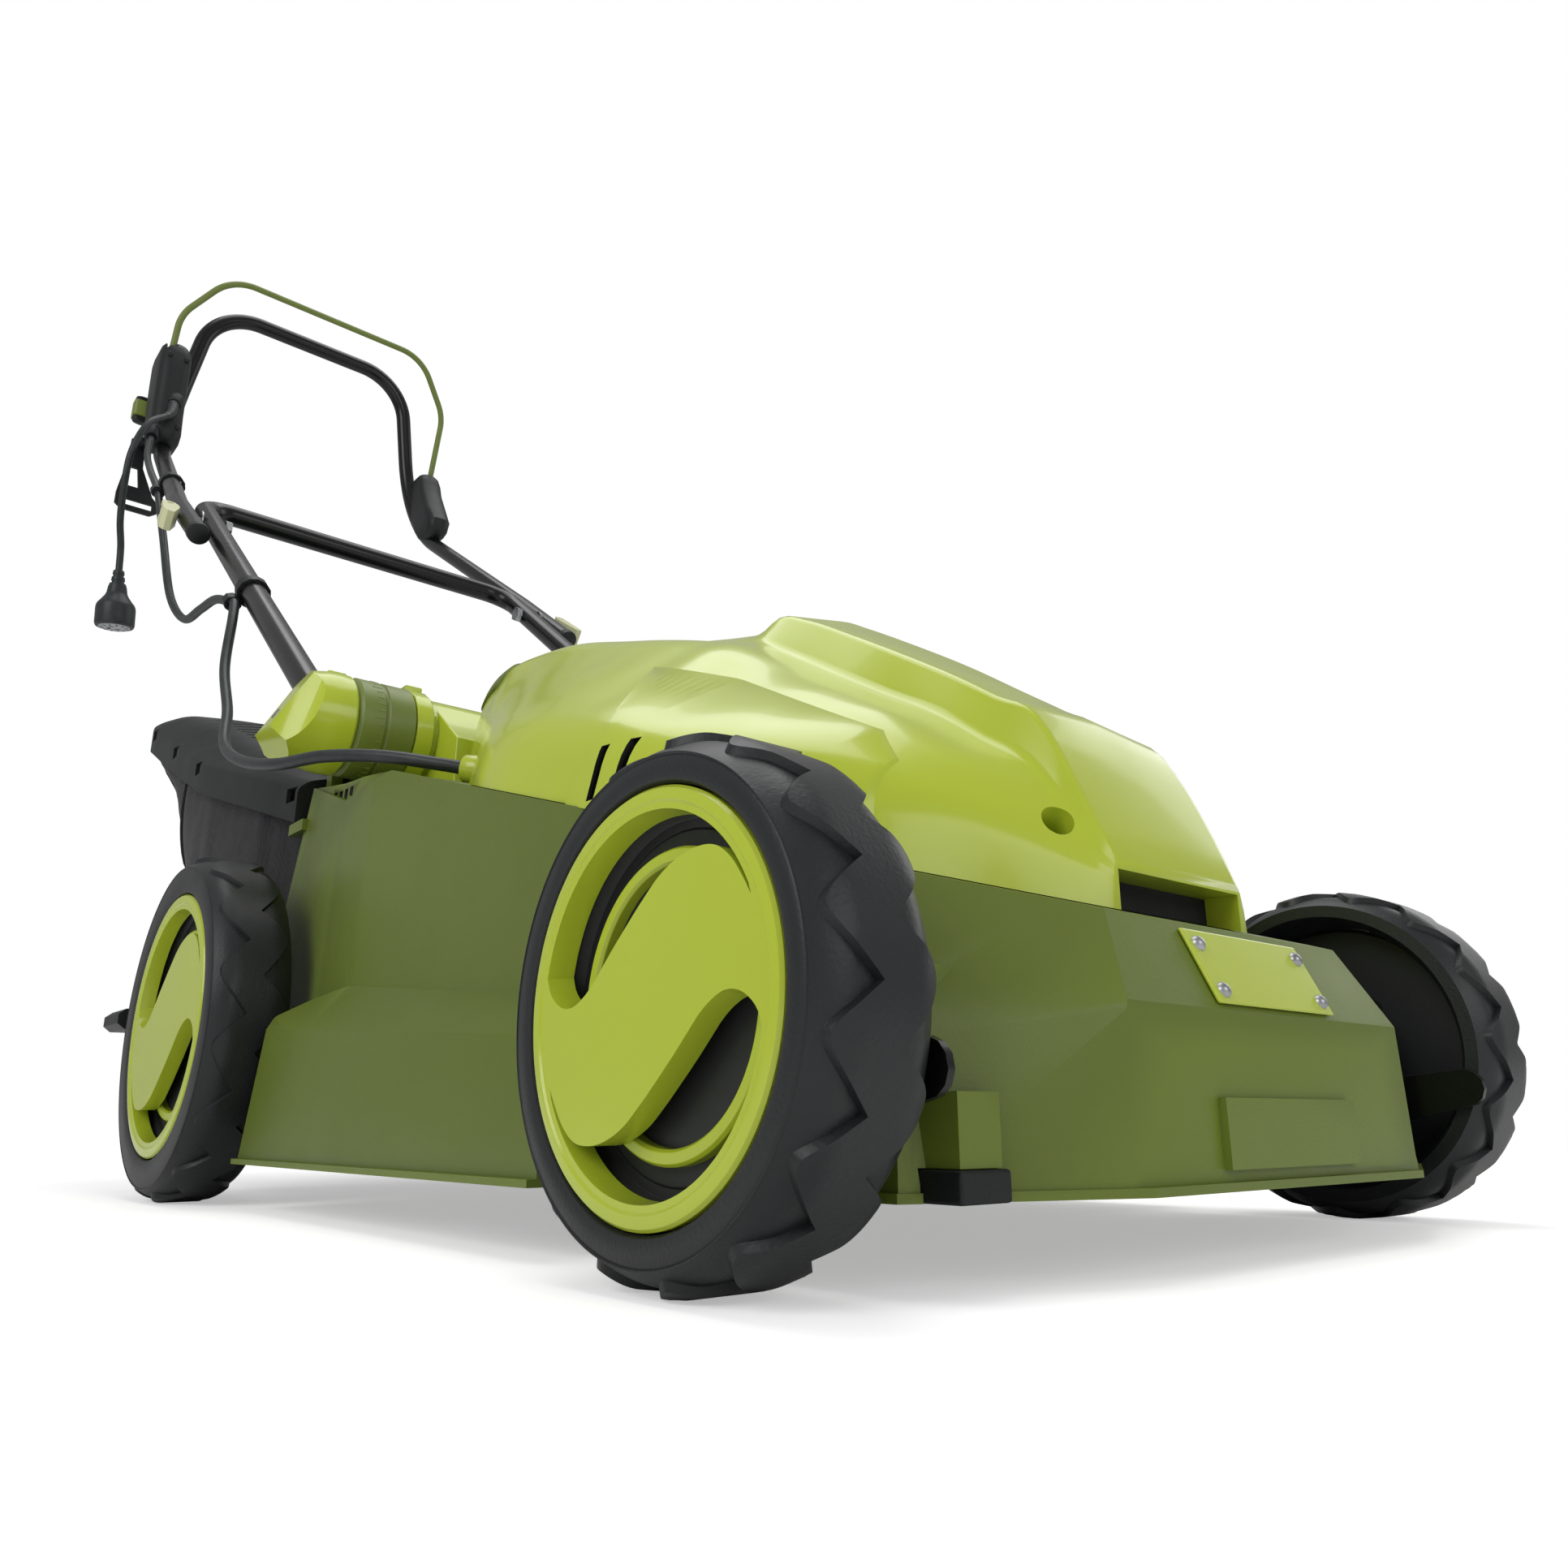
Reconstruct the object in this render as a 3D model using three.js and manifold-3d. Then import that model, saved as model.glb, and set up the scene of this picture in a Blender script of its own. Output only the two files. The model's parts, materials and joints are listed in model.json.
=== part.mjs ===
// Corded electric rotary lawn mower with a rear grass bag.
// Millimetres. +X is the mower's left side, +Y points back to the operator, +Z is up.
// While it is built, the front axle stands over Y = 0 and the ground is Z = 0. The last lines move the
// origin to the middle of the footprint.
import * as THREE from 'three';
import { mergeVertices } from 'three/addons/utils/BufferGeometryUtils.js';
import Module from 'manifold-3d';

const wasm = await Module();
wasm.setup();

// ---------------------------------------------------------------- driving dimensions
const GAP = 0.3; // clearance between pieces that touch
const RUNNING_GAP = 0.35; // clearance round a shaft or a pin
const SIDES = [['right', -1], ['left', 1]];

// wheels
const WHEELBASE = 567.5;
const WIDTH_OVER_WHEELS = 480;
const WHEEL_WIDTH = 47;
const TREAD_HEIGHT = 3.6;
const SHOULDER = { drop: 5.8, width: 12 }; // the tyre's edges fall away to its side walls
const LUGS = 16;
const RIM_SIDES = 24;
const COVER_DEPTH = 10; // lime wheel cover, measured along the axle
const COVER_FACE = 3;
const FRONT_WHEEL = { name: 'front', radius: 85.2, rim: 66.6, y: 0 };
const REAR_WHEEL = { name: 'rear', radius: 112.7, rim: 85.6, y: WHEELBASE };
const NUT_RADIUS = 11;
const NUT_HEIGHT = 4;

// cranks that carry the wheels, and the parts that set the cutting height
const AXLE_RADIUS = 6;
const CRANK_REACH = 34; // wheel axle behind the crank's pivot
const CRANK_RISE = 27.2; // wheel axle above the crank's pivot, at the lowest cut
const ARM_THICKNESS = 3;
const ARM_TO_WHEEL = 3;
const ARM_BOSS = 11;
const ARM_NOSE = { y: -36, z: 6, radius: 9 }; // from the crank's pivot
const LINK_PIN = { y: 2, z: 17, radius: 3 }; // from the crank's pivot
const LINK_WIRE = 2.2;
const LINK_EYE = 6.5;
const LEVER_THICKNESS = 4.5;
const LEVER_HUB = 13;
const LEVER_GRIP = { behind: 133.5, length: 47, width: 26, bottom: 117, top: 132 }; // behind the rear axle

// deck
const DECK_BOTTOM = 26;
const WALL = 4;
const NOSE = { half: 95, y: -78, crease: 88 };
const BAND_TOP_Y = -62;
// the front corners of the plan at three heights: the foot, the crease, and the brow under the hood
const WAIST_HALF = WIDTH_OVER_WHEELS / 2 - WHEEL_WIDTH - 14; // between the front wheels
const FRONTS = [
  { z: 26, nose: [95, -78], corner: [WAIST_HALF - 3, -46] },
  { z: 88, nose: [95, -78], corner: [WAIST_HALF - 9, -40] },
  { z: 137.5, nose: [76, -55.5], corner: [WAIST_HALF - 13, -11] },
];
const BODY_HALF = WAIST_HALF + 11; // between the wheels' front and rear pairs
const TAIL_HALF = WAIST_HALF - 7; // between the rear wheels
const TAPER = 3; // the sides lean in by twice this from the bottom to the top
const SKIRT = { half: WAIST_HALF + 34, front: 106, back: WHEELBASE - 101.5, lean: 0.35 };
const SEAM_Z = 141; // joint between deck and hood, where it crosses the front axle
const SEAM_SLOPE = 0.306;
const SHOULDER_Y = 345; // where the seam levels out
const SHELF = { y: 440, z: 249 };
const TAIL_TOP = { y: 535, z: 280 };
const TAIL_FOOT = { y: 592, z: 112 };
const TAIL_BOTTOM = 101;
const CHAMBER_TOP = 97;
const CHUTE = { half: TAIL_HALF - 16, start: 392, roof: 236, roofStart: 438 };
const LIP = 4;
const BOSS = { right: -50, left: 46, bottom: 33, top: 57 };
const POST = { inner: WAIST_HALF - 28, outer: WAIST_HALF - 9, front: -64, back: -45, top: 58 }; // on the right front corner
const BEARING = { inner: WAIST_HALF - 33, outer: WAIST_HALF - 13, front: -46, back: -22, bottom: 36 }; // hold the front crank
const FRONT_CAP = {
  right: { inner: WAIST_HALF - 30, outer: WAIST_HALF - 7, front: -66 },
  left: { inner: WAIST_HALF - 33, outer: WAIST_HALF - 13, front: -46 },
};
const BLOCK = { inner: WAIST_HALF - 41, outer: WAIST_HALF - 23, half: 14, below: 15 };
const FRONT_CAP_BOTTOM = 26;
const SHAFT_HOLE = 13;
const BAG_LUG = { width: 7, reach: 10, height: 8 };

// hood
const HOOD_WALL = 3;
const INTAKE = { half: 45, bottom: 120, top: 145 };
const PANEL_THICKNESS = 1.2;
// slots in each side panel: the foot of the first, its width, how far its top leans forward, and the pitch
const VENT = { y: 106, z: 183, width: 4, lean: 12, height: 15, pitch: 15 };
const PLATE = { half: 43, bottom: 90, top: 119, thickness: 2 };
// each station: its y, the x and z of the top's five points, and the half width at the seam
const HOOD = [
  [-42, [[0, 151], [44, 150], [47, 147], [48, 143], [49, 139]], 50],
  [-37, [[0, 164], [47, 162], [51, 154], [53, 148], [56, 144]], 59],
  [-10, [[0, 220], [48, 217], [56, 195], [76, 185], [92, 170]], 98],
  [10, [[0, 235], [49, 231], [59, 210], [90, 202], [120, 181]], 132],
  [33, [[0, 251], [49, 246], [62, 228], [98, 218], [138, 193]], 160],
  [66, [[0, 274], [48, 267], [63, 247], [101, 238], [147, 208]], 176],
  [102, [[0, 300], [46, 288], [64, 266], [102, 258], [149, 222]], 186],
  [146, [[0, 325], [45, 314], [66, 293], [103, 287], [149, 240]], 187],
  [186, [[0, 341], [46, 329], [68, 312], [102, 302], [149, 252]], 188],
  [247, [[0, 357], [50, 345], [73, 330], [101, 321], [149, 272]], 188],
  [300, [[0, 357], [54, 350], [78, 342], [101, 337], [149, 290]], 188],
  [345, [[0, 353], [56, 350], [80, 348], [101, 343], [142, 300]], 176],
  [376, [[0, 350], [57, 349], [80, 348], [100, 346], [124, 308]], 146],
  [425, [[0, 337], [57, 336], [80, 334], [99, 331], [110, 300]], 120],
  [441, [[0, 312], [57, 311], [80, 309], [98, 304], [106, 285]], 112],
];

// motor and blade
const MOTOR = { y: 255, radius: 62, wall: 4, height: 110 };
const SHAFT_RADIUS = 8;
const ARMATURE_RADIUS = 44;
const FAN = { radius: 52, blades: 7, height: 14 };
const BLADE = { length: 384, width: 52, thickness: 3.4, z: 42, wing: 9 };
const CARRIER_RADIUS = 30;
const BLADE_BOLT = { radius: 5, head: 14 };

// handle
const PIVOT = { y: 508, z: 321 };
const NECK = { radius: 32, inner: 60, flange: 110, ring: 123, cap: 165, spindle: 14, end: 198 };
const BARREL_RADIUS = 36;
const BARREL_SIDES = 16;
const FOOT_FRONT = 443;
const CAP = { outer: 217, radius: 35, tip: 26 };
const LOWER = { half: 180, tube: 11, rise: 9, start: 24, crossbar: 965, bend: 32, angle: 37.6 };
const TUBE_WALL = 1.5;
const UPPER = { tube: 10, angle: 35.5, overlap: 72, knee: 962 };
const CLAMP = { y: 905, bolt: 4, washer: 1.5, head: 9, pin: 3, reach: 9, lever: 46 };
const BEND = { half: 174, y: 1298, radius: 180 };
const GRIP = { half: 134, y: 1276, z: 1142, radius: 72 };
const BAIL = { half: 186, pin: 172, y: 1266, z: 975, rod: 4, slot: 10 };
const BAIL_KNEE = { half: 184, y: 1229, z: 1080, radius: 60 };
const BAIL_TOP = { half: 134, y: 1204, z: 1147, radius: 60 };
const BOX = { outer: 198, inner: 149, bottom: 893, top: 1066 };
const BRACKET = { outer: 200, inner: 158, bottom: 868, top: 992 };
const BUTTON = { x: 184, half: 8, bottom: 956, top: 988, proud: 14 };
const HOOK = { x: 199, z: 905, pin: 3, thickness: 5, foot: 812 };
const CLIP_WALL = 3;
const CLIP_LENGTH = 12;

// grass bag: each station of the lid has its y, the z of the rim's lower edge, half width and dome
const LID_WALL = 3;
const LID_RIM = 30;
const LID = [
  [557, 258, 174, 4], [650, 287, 184, 14], [758, 319, 192, 24], [880, 368, 192, 26],
  [985, 412, 190, 14], [1010, 423, 176, 0],
];
const CLOTH_WALL = 5;
const CLOTH_INSET = 5;
// each station of the cloth: y at the bottom, z at the bottom, y at the top, half width at the bottom
const CLOTH = [
  [603, 82, 557, 150], [700, 84, 650, 156], [780, 92, 758, 158], [845, 250, 848, 168],
  [900, 338, 902, 172], [985, 402, 986, 172],
];
const MOUTH = { half: 146, bottom: 116, top: 226 };
const FLAP = { y: 549, z: 301, pin: 3, barrel: 6, half: 146, length: 78, thickness: 3, ear: 8 };

// cords
const CABLE_RADIUS = 4;
const CABLE_ENTRY = [-162, 371.2, 262.6];
const ENTRY_WAY = [18, -13.8, -0.4]; // the direction in which the cable enters the hood
const PIGTAIL_ENTRY = [-175, 1235, 951];
const PIGTAIL_WAY = [4, 13, 21];
const GLAND_WALL = 3.5;
const CABLE_STEPS = 28;
const PIGTAIL_STEPS = 18;
const PLUG_RADIUS = 22;

// ---------------------------------------------------------------- geometry helpers
const deg = Math.PI / 180;
const mirror = (half) => [...half, ...half.map(([x, v]) => [-x, v]).reverse()];

// a BufferGeometry as a solid, with its faces turned outwards
function solid(geometry) {
  const bare = new THREE.BufferGeometry();
  bare.setAttribute('position', geometry.getAttribute('position'));
  if (geometry.index) bare.setIndex(geometry.index);
  const merged = mergeVertices(bare, 1e-4);
  const vertProperties = new Float32Array(merged.getAttribute('position').array);
  const triVerts = new Uint32Array(merged.index.array);
  const corner = (i) => new THREE.Vector3().fromArray(vertProperties, 3 * triVerts[i]);
  let volume = 0;
  for (let i = 0; i < triVerts.length; i += 3) {
    volume += corner(i).dot(corner(i + 1).cross(corner(i + 2)));
  }
  for (let i = 0; volume < 0 && i < triVerts.length; i += 3) {
    [triVerts[i + 1], triVerts[i + 2]] = [triVerts[i + 2], triVerts[i + 1]];
  }
  return new wasm.Manifold(new wasm.Mesh({ numProp: 3, vertProperties, triVerts }));
}

function surface(body) {
  const mesh = body.getMesh();
  const geometry = new THREE.BufferGeometry();
  const points = new Float32Array(mesh.vertProperties);
  geometry.setAttribute('position', new THREE.BufferAttribute(points, 3));
  geometry.setIndex(new THREE.BufferAttribute(new Uint32Array(mesh.triVerts), 1));
  const flat = geometry.toNonIndexed();
  flat.computeVertexNormals();
  return flat;
}

const join = (...bodies) => bodies.flat().reduce((whole, body) => whole.add(body));
const cut = (body, ...tools) => tools.flat().reduce((rest, tool) => rest.subtract(tool), body);

function block(x0, x1, y0, y1, z0, z1) {
  const box = new THREE.BoxGeometry(Math.abs(x1 - x0), Math.abs(y1 - y0), Math.abs(z1 - z0));
  box.translate((x0 + x1) / 2, (y0 + y1) / 2, (z0 + z1) / 2);
  return solid(box);
}

// an outline given in the plane across one axis, drawn out along that axis
const AXES = {
  x: new THREE.Matrix4().set(0, 0, 1, 0, 1, 0, 0, 0, 0, 1, 0, 0, 0, 0, 0, 1),
  y: new THREE.Matrix4().set(1, 0, 0, 0, 0, 0, 1, 0, 0, 1, 0, 0, 0, 0, 0, 1),
  z: new THREE.Matrix4(),
};

function prism(axis, outline, from, to, holes = []) {
  const asPoints = (points) => points.map(([a, b]) => new THREE.Vector2(a, b));
  const shape = outline instanceof THREE.Shape ? outline : new THREE.Shape(asPoints(outline));
  shape.holes.push(...holes.map((hole) => new THREE.Path(asPoints(hole))));
  const geometry = new THREE.ExtrudeGeometry(shape, {
    depth: Math.abs(to - from), bevelEnabled: false, curveSegments: 6,
  });
  geometry.translate(0, 0, Math.min(from, to));
  geometry.applyMatrix4(AXES[axis]);
  return solid(geometry);
}

function rod(axis, radius, from, to, [a, b], sides = 12) {
  const ring = Array.from({ length: sides }, (_, i) => {
    const turn = 2 * Math.PI * (i + 0.5) / sides;
    return [a + radius * Math.cos(turn), b + radius * Math.sin(turn)];
  });
  return prism(axis, ring, from, to);
}

// a closed profile of [radius, height] spun about an axis that starts at base and points along axis
function turned(profile, base, axis, segments = 24) {
  const points = [...profile, profile[0]].map(([r, h]) => new THREE.Vector2(r, h));
  const geometry = new THREE.LatheGeometry(points, segments);
  const spin = new THREE.Quaternion();
  spin.setFromUnitVectors(new THREE.Vector3(0, 1, 0), axis.clone().normalize());
  geometry.applyQuaternion(spin);
  geometry.translate(base.x, base.y, base.z);
  return solid(geometry);
}

// rings of [x, y, z], each with as many points, skinned one to the next and closed at both ends
function loft(rings) {
  const count = rings[0].length;
  const faces = [];
  for (let r = 0; r + 1 < rings.length; r += 1) {
    for (let i = 0; i < count; i += 1) {
      const j = (i + 1) % count;
      const [a, b] = [r * count + i, r * count + j];
      faces.push(a, b, b + count, a, b + count, a + count);
    }
  }
  const flatRing = (ring) => {
    const spread = [0, 1, 2].map((k) => {
      const values = ring.map((p) => p[k]);
      return Math.max(...values) - Math.min(...values);
    });
    const across = [0, 1, 2].filter((k) => k !== spread.indexOf(Math.min(...spread)));
    return ring.map((p) => new THREE.Vector2(p[across[0]], p[across[1]]));
  };
  const last = (rings.length - 1) * count;
  const turnOf = (ring) => Math.sign(THREE.ShapeUtils.area(flatRing(ring)));
  const cap = (ring, offset, reversed) => {
    const outline = flatRing(ring);
    const backwards = turnOf(ring) < 0;
    const order = outline.map((_, i) => (backwards ? count - 1 - i : i));
    const sorted = order.map((i) => outline[i]);
    for (const [a, b, c] of THREE.ShapeUtils.triangulateShape(sorted, [])) {
      const tri = [order[a], order[b], order[c]].map((i) => i + offset);
      faces.push(...(reversed === backwards ? tri : [tri[0], tri[2], tri[1]]));
    }
  };
  cap(rings[0], 0, true);
  cap(rings[rings.length - 1], last, false);
  const geometry = new THREE.BufferGeometry();
  const points = new Float32Array(rings.flat(2));
  geometry.setAttribute('position', new THREE.BufferAttribute(points, 3));
  geometry.setIndex(faces);
  return solid(geometry);
}

// a path through corner points, each inner corner rounded to its own radius
class BentPath extends THREE.Curve {
  constructor(corners, radii, step = 22.5 * deg) {
    super();
    this.points = [corners[0].clone()];
    corners.slice(1, -1).forEach((corner, i) => {
      const back = corners[i].clone().sub(corner);
      const on = corners[i + 2].clone().sub(corner);
      const angle = back.angleTo(on);
      const reach = Math.min(radii[i] / Math.tan(angle / 2), 0.49 * back.length(), 0.49 * on.length());
      const radius = reach * Math.tan(angle / 2);
      const start = corner.clone().addScaledVector(back.normalize(), reach);
      const end = corner.clone().addScaledVector(on.normalize(), reach);
      const middle = back.clone().add(on).normalize();
      const centre = corner.clone().addScaledVector(middle, radius / Math.sin(angle / 2));
      const turns = Math.max(1, Math.ceil((Math.PI - angle) / step));
      for (let k = 0; k <= turns; k += 1) {
        const spoke = start.clone().lerp(end, k / turns).sub(centre).setLength(radius);
        this.points.push(centre.clone().add(spoke));
      }
    });
    this.points.push(corners[corners.length - 1].clone());
  }

  getPoint(t, target = new THREE.Vector3()) {
    return target.copy(this.points[Math.round(t * (this.points.length - 1))]);
  }

  getPointAt(t, target) {
    return this.getPoint(t, target);
  }

  getSpacedPoints() {
    return this.points;
  }

  getTangentAt(t, target = new THREE.Vector3()) {
    const i = Math.round(t * (this.points.length - 1));
    const before = this.points[Math.max(i - 1, 0)];
    const after = this.points[Math.min(i + 1, this.points.length - 1)];
    return target.copy(after).sub(before).normalize();
  }
}

function circle(radius, sides) {
  return Array.from({ length: sides }, (_, i) => {
    const turn = 2 * Math.PI * i / sides;
    return new THREE.Vector2(radius * Math.cos(turn), radius * Math.sin(turn));
  });
}

function pipe(path, radius, sides = 10) {
  const shape = new THREE.Shape(circle(radius, sides));
  const steps = path.points ? path.points.length - 1 : path.steps;
  return solid(new THREE.ExtrudeGeometry(shape, { steps, bevelEnabled: false, extrudePath: path }));
}

// a sleeve round a cable's end, running on from the point where the cable stops
function gland(entry, way, length) {
  const start = new THREE.Vector3(...entry);
  const along = new THREE.Vector3(...way).normalize();
  const ends = [2 * GAP, length].map((distance) => start.clone().addScaledVector(along, distance));
  return pipe(new BentPath(ends, []), CABLE_RADIUS + GLAND_WALL, 12);
}

// ---------------------------------------------------------------- materials and the scene graph
const FINISH = {
  lime: { color: 0xa9b342, roughness: 0.32, metalness: 0 },
  olive: { color: 0x5d662f, roughness: 0.5, metalness: 0 },
  darkOlive: { color: 0x657033, roughness: 0.55, metalness: 0 },
  paleOlive: { color: 0xb9b98a, roughness: 0.45, metalness: 0 },
  black: { color: 0x1d2021, roughness: 0.55, metalness: 0 },
  tyre: { color: 0x2b2d2e, roughness: 0.85, metalness: 0 },
  tube: { color: 0x141618, roughness: 0.3, metalness: 0.2 },
  steel: { color: 0xb8babb, roughness: 0.35, metalness: 1 },
  cloth: { color: 0x17141c, roughness: 0.9, metalness: 0 },
  cord: { color: 0x1c2123, roughness: 0.6, metalness: 0 },
};

const mower = new THREE.Group();
const cordNodes = new Set(['pigtail_cord', 'pigtail_plug', 'motor_cable_upper', 'motor_cable_lower']);

function piece(name, body, finish) {
  const mesh = new THREE.Mesh(surface(body), new THREE.MeshStandardMaterial(FINISH[finish]));
  mesh.name = name;
  mower.add(mesh);
  return mesh;
}

// ---------------------------------------------------------------- wheels and axles
const wheelOuter = WIDTH_OVER_WHEELS / 2;
const wheelInner = wheelOuter - WHEEL_WIDTH;
const coverInner = wheelOuter - COVER_DEPTH;
const armOuter = wheelInner - ARM_TO_WHEEL;
const armInner = armOuter - ARM_THICKNESS;
const stubEnd = coverInner - NUT_HEIGHT - 2 * GAP;
const pivotOf = (wheel) => ({ y: wheel.y - CRANK_REACH, z: wheel.radius - CRANK_RISE });
const frontPivot = pivotOf(FRONT_WHEEL);
const rearPivot = pivotOf(REAR_WHEEL);
const spanX = (side, near, far) => (side > 0 ? [near, far] : [-far, -near]);
const wheelRing = (wheel, radius, sides) => circle(radius, sides)
  .map((p) => [wheel.y + p.x, wheel.radius + p.y]);

// half of a tread: lugs that rise slowly and drop sharply, with one of them standing on the ground
function tread(wheel, edge, middle, shift) {
  const pitch = 2 * Math.PI / LUGS;
  const outline = [];
  for (let i = 0; i < LUGS; i += 1) {
    for (const [share, drop] of [[-0.5, TREAD_HEIGHT], [-0.15, 0], [0.3, 0]]) {
      outline.push([-Math.PI / 2 + (i + shift + share + 0.15) * pitch, wheel.radius - drop]);
    }
  }
  const ring = (x, drop) => outline.map(([turn, radius]) => [
    x, wheel.y + (radius - drop) * Math.cos(turn), wheel.radius + (radius - drop) * Math.sin(turn),
  ]);
  const inwards = Math.sign(middle - edge);
  const bore = prism('x', wheelRing(wheel, wheel.rim + GAP, RIM_SIDES), edge - inwards, middle + inwards);
  const body = loft([
    ring(edge, SHOULDER.drop), ring(edge + inwards * SHOULDER.width, 0), ring(middle, 0),
  ]);
  return cut(body, bore);
}

function tyre(wheel, side) {
  const middle = side * (wheelInner + wheelOuter) / 2;
  return join(tread(wheel, side * wheelInner, middle, 0), tread(wheel, side * wheelOuter, middle, 0.5));
}

// a crescent window between the wheel cover's rim and its S-shaped web
function crescent(wheel, start, side) {
  const sweep = 150 * deg;
  const steps = 8;
  const outer = wheel.rim * 0.76;
  const inner = wheel.rim * 0.42;
  const at = (radius, share) => {
    const turn = (start + share * sweep) * side;
    return [wheel.y + radius * Math.cos(turn), wheel.radius + radius * Math.sin(turn)];
  };
  const shares = Array.from({ length: steps + 1 }, (_, i) => i / steps);
  const back = shares.map((s) => at(outer - 3 - (outer - inner) * Math.sin(Math.PI * s), s)).reverse();
  return [...shares.map((s) => at(outer, s)), ...back];
}

function wheelCover(wheel, side) {
  const disc = prism('x', wheelRing(wheel, wheel.rim, RIM_SIDES), ...spanX(side, coverInner + GAP, wheelOuter));
  const dish = prism('x', wheelRing(wheel, wheel.rim * 0.79, RIM_SIDES), ...spanX(
    side, wheelOuter - COVER_FACE, wheelOuter + 1,
  ));
  const windows = [40 * deg, 220 * deg].map((start) => prism(
    'x', crescent(wheel, start, side), ...spanX(side, coverInner - 1, wheelOuter + 1),
  ));
  return cut(disc, dish, windows);
}

// the black core that carries the tyre and the cover, with the bearing bore at its middle
function wheelCore(wheel, side) {
  const depth = coverInner - wheelInner;
  const bore = AXLE_RADIUS + RUNNING_GAP;
  const bearing = stubEnd - wheelInner - GAP;
  const seat = wheel.rim;
  return turned([
    [bore, 1], [bore, bearing], [NUT_RADIUS + 3, bearing], [NUT_RADIUS + 4, depth - 1],
    [seat - 12, depth - 9], [seat - 9, depth], [seat, depth], [seat, 2], [seat - 6, 2],
    [seat - 12, depth - 15], [NUT_RADIUS + 4, 1],
  ], new THREE.Vector3(side * wheelInner, wheel.y, wheel.radius), new THREE.Vector3(side, 0, 0), RIM_SIDES);
}

// one arm: a sheet that widens from the pivot to a round end about the wheel's axle
function crankArm(wheel, side) {
  const pivot = pivotOf(wheel);
  const reach = wheel.rim * 0.62;
  const arc = (centre, radius, from, to) => Array.from({ length: 8 }, (_, i) => {
    const turn = from + (to - from) * i / 7;
    return [centre.y + radius * Math.cos(turn), centre.z + radius * Math.sin(turn)];
  });
  // a plate whose ends are round about two centres
  const strap = (from, near, to, far, wrap) => {
    const way = Math.atan2(to.z - from.z, to.y - from.y);
    const ends = [
      ...arc(to, far, way - wrap, way + wrap), ...arc(from, near, way + wrap - 10 * deg, way - wrap + 370 * deg),
    ];
    return prism('x', ends, ...spanX(side, armInner, armOuter));
  };
  const axle = { y: wheel.y, z: wheel.radius };
  const tip = { y: pivot.y + ARM_NOSE.y, z: pivot.z + ARM_NOSE.z };
  const stub = rod('x', AXLE_RADIUS, ...spanX(side, armInner + 1, stubEnd), [axle.y, axle.z]);
  return join(
    strap(pivot, ARM_BOSS, axle, reach, 110 * deg), strap(tip, ARM_NOSE.radius, pivot, ARM_BOSS, 90 * deg), stub,
  );
}

const linkAt = (pivot) => [pivot.y + LINK_PIN.y, pivot.z + LINK_PIN.z];
const linkInner = armInner - GAP - 2 * LINK_WIRE;

function crank(wheel) {
  const pivot = pivotOf(wheel);
  const across = rod('x', AXLE_RADIUS, -armInner - 1, armInner + 1, [pivot.y, pivot.z]);
  const pin = rod('x', LINK_PIN.radius, linkInner, armInner + 1, linkAt(pivot), 12);
  return join(across, crankArm(wheel, 1), crankArm(wheel, -1), pin);
}

for (const wheel of [FRONT_WHEEL, REAR_WHEEL]) {
  for (const [label, side] of SIDES) {
    const nut = rod('x', NUT_RADIUS, ...spanX(side, stubEnd + GAP, coverInner - GAP), [wheel.y, wheel.radius], 6);
    piece(`${wheel.name}_${label}_tyre`, tyre(wheel, side), 'tyre');
    piece(`${wheel.name}_${label}_wheel_cover`, wheelCover(wheel, side), 'lime');
    piece(`${wheel.name}_${label}_wheel_core`, wheelCore(wheel, side), 'black');
    piece(`${wheel.name}_${label}_wheel_nut`, nut, 'steel');
  }
  piece(`${wheel.name}_axle_crank`, crank(wheel), 'black');
}

// the link keeps both cranks at one angle; it runs round the deck's left side above the ledge
function linkRod() {
  const x = linkInner + LINK_WIRE;
  const outside = BODY_HALF + 4;
  const [[frontY, frontZ], [rearY, rearZ]] = [linkAt(frontPivot), linkAt(rearPivot)];
  const corners = [
    [x, frontY, frontZ], [x, 80, 120], [outside, 122, 144], [outside, SKIRT.back - 86, 150], [x, SKIRT.back + 2, 128], [x, rearY, rearZ],
  ].map((p) => new THREE.Vector3(...p));
  const wire = pipe(new BentPath(corners, [30, 30, 30, 30]), LINK_WIRE, 6);
  const eyes = [frontPivot, rearPivot].map((pivot) => rod(
    'x', LINK_EYE, linkInner, linkInner + 2 * LINK_WIRE, linkAt(pivot), 12,
  ));
  const holes = [frontPivot, rearPivot].map((pivot) => rod(
    'x', LINK_PIN.radius + RUNNING_GAP, linkInner - 5, armInner + 5, linkAt(pivot), 12,
  ));
  return cut(join(wire, eyes), holes);
}

// the cutting height lever turns on the rear crank's rod and reaches round behind the right wheel
const gripFront = REAR_WHEEL.y + LEVER_GRIP.behind;
const gripInner = wheelOuter - LEVER_GRIP.width;

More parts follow.
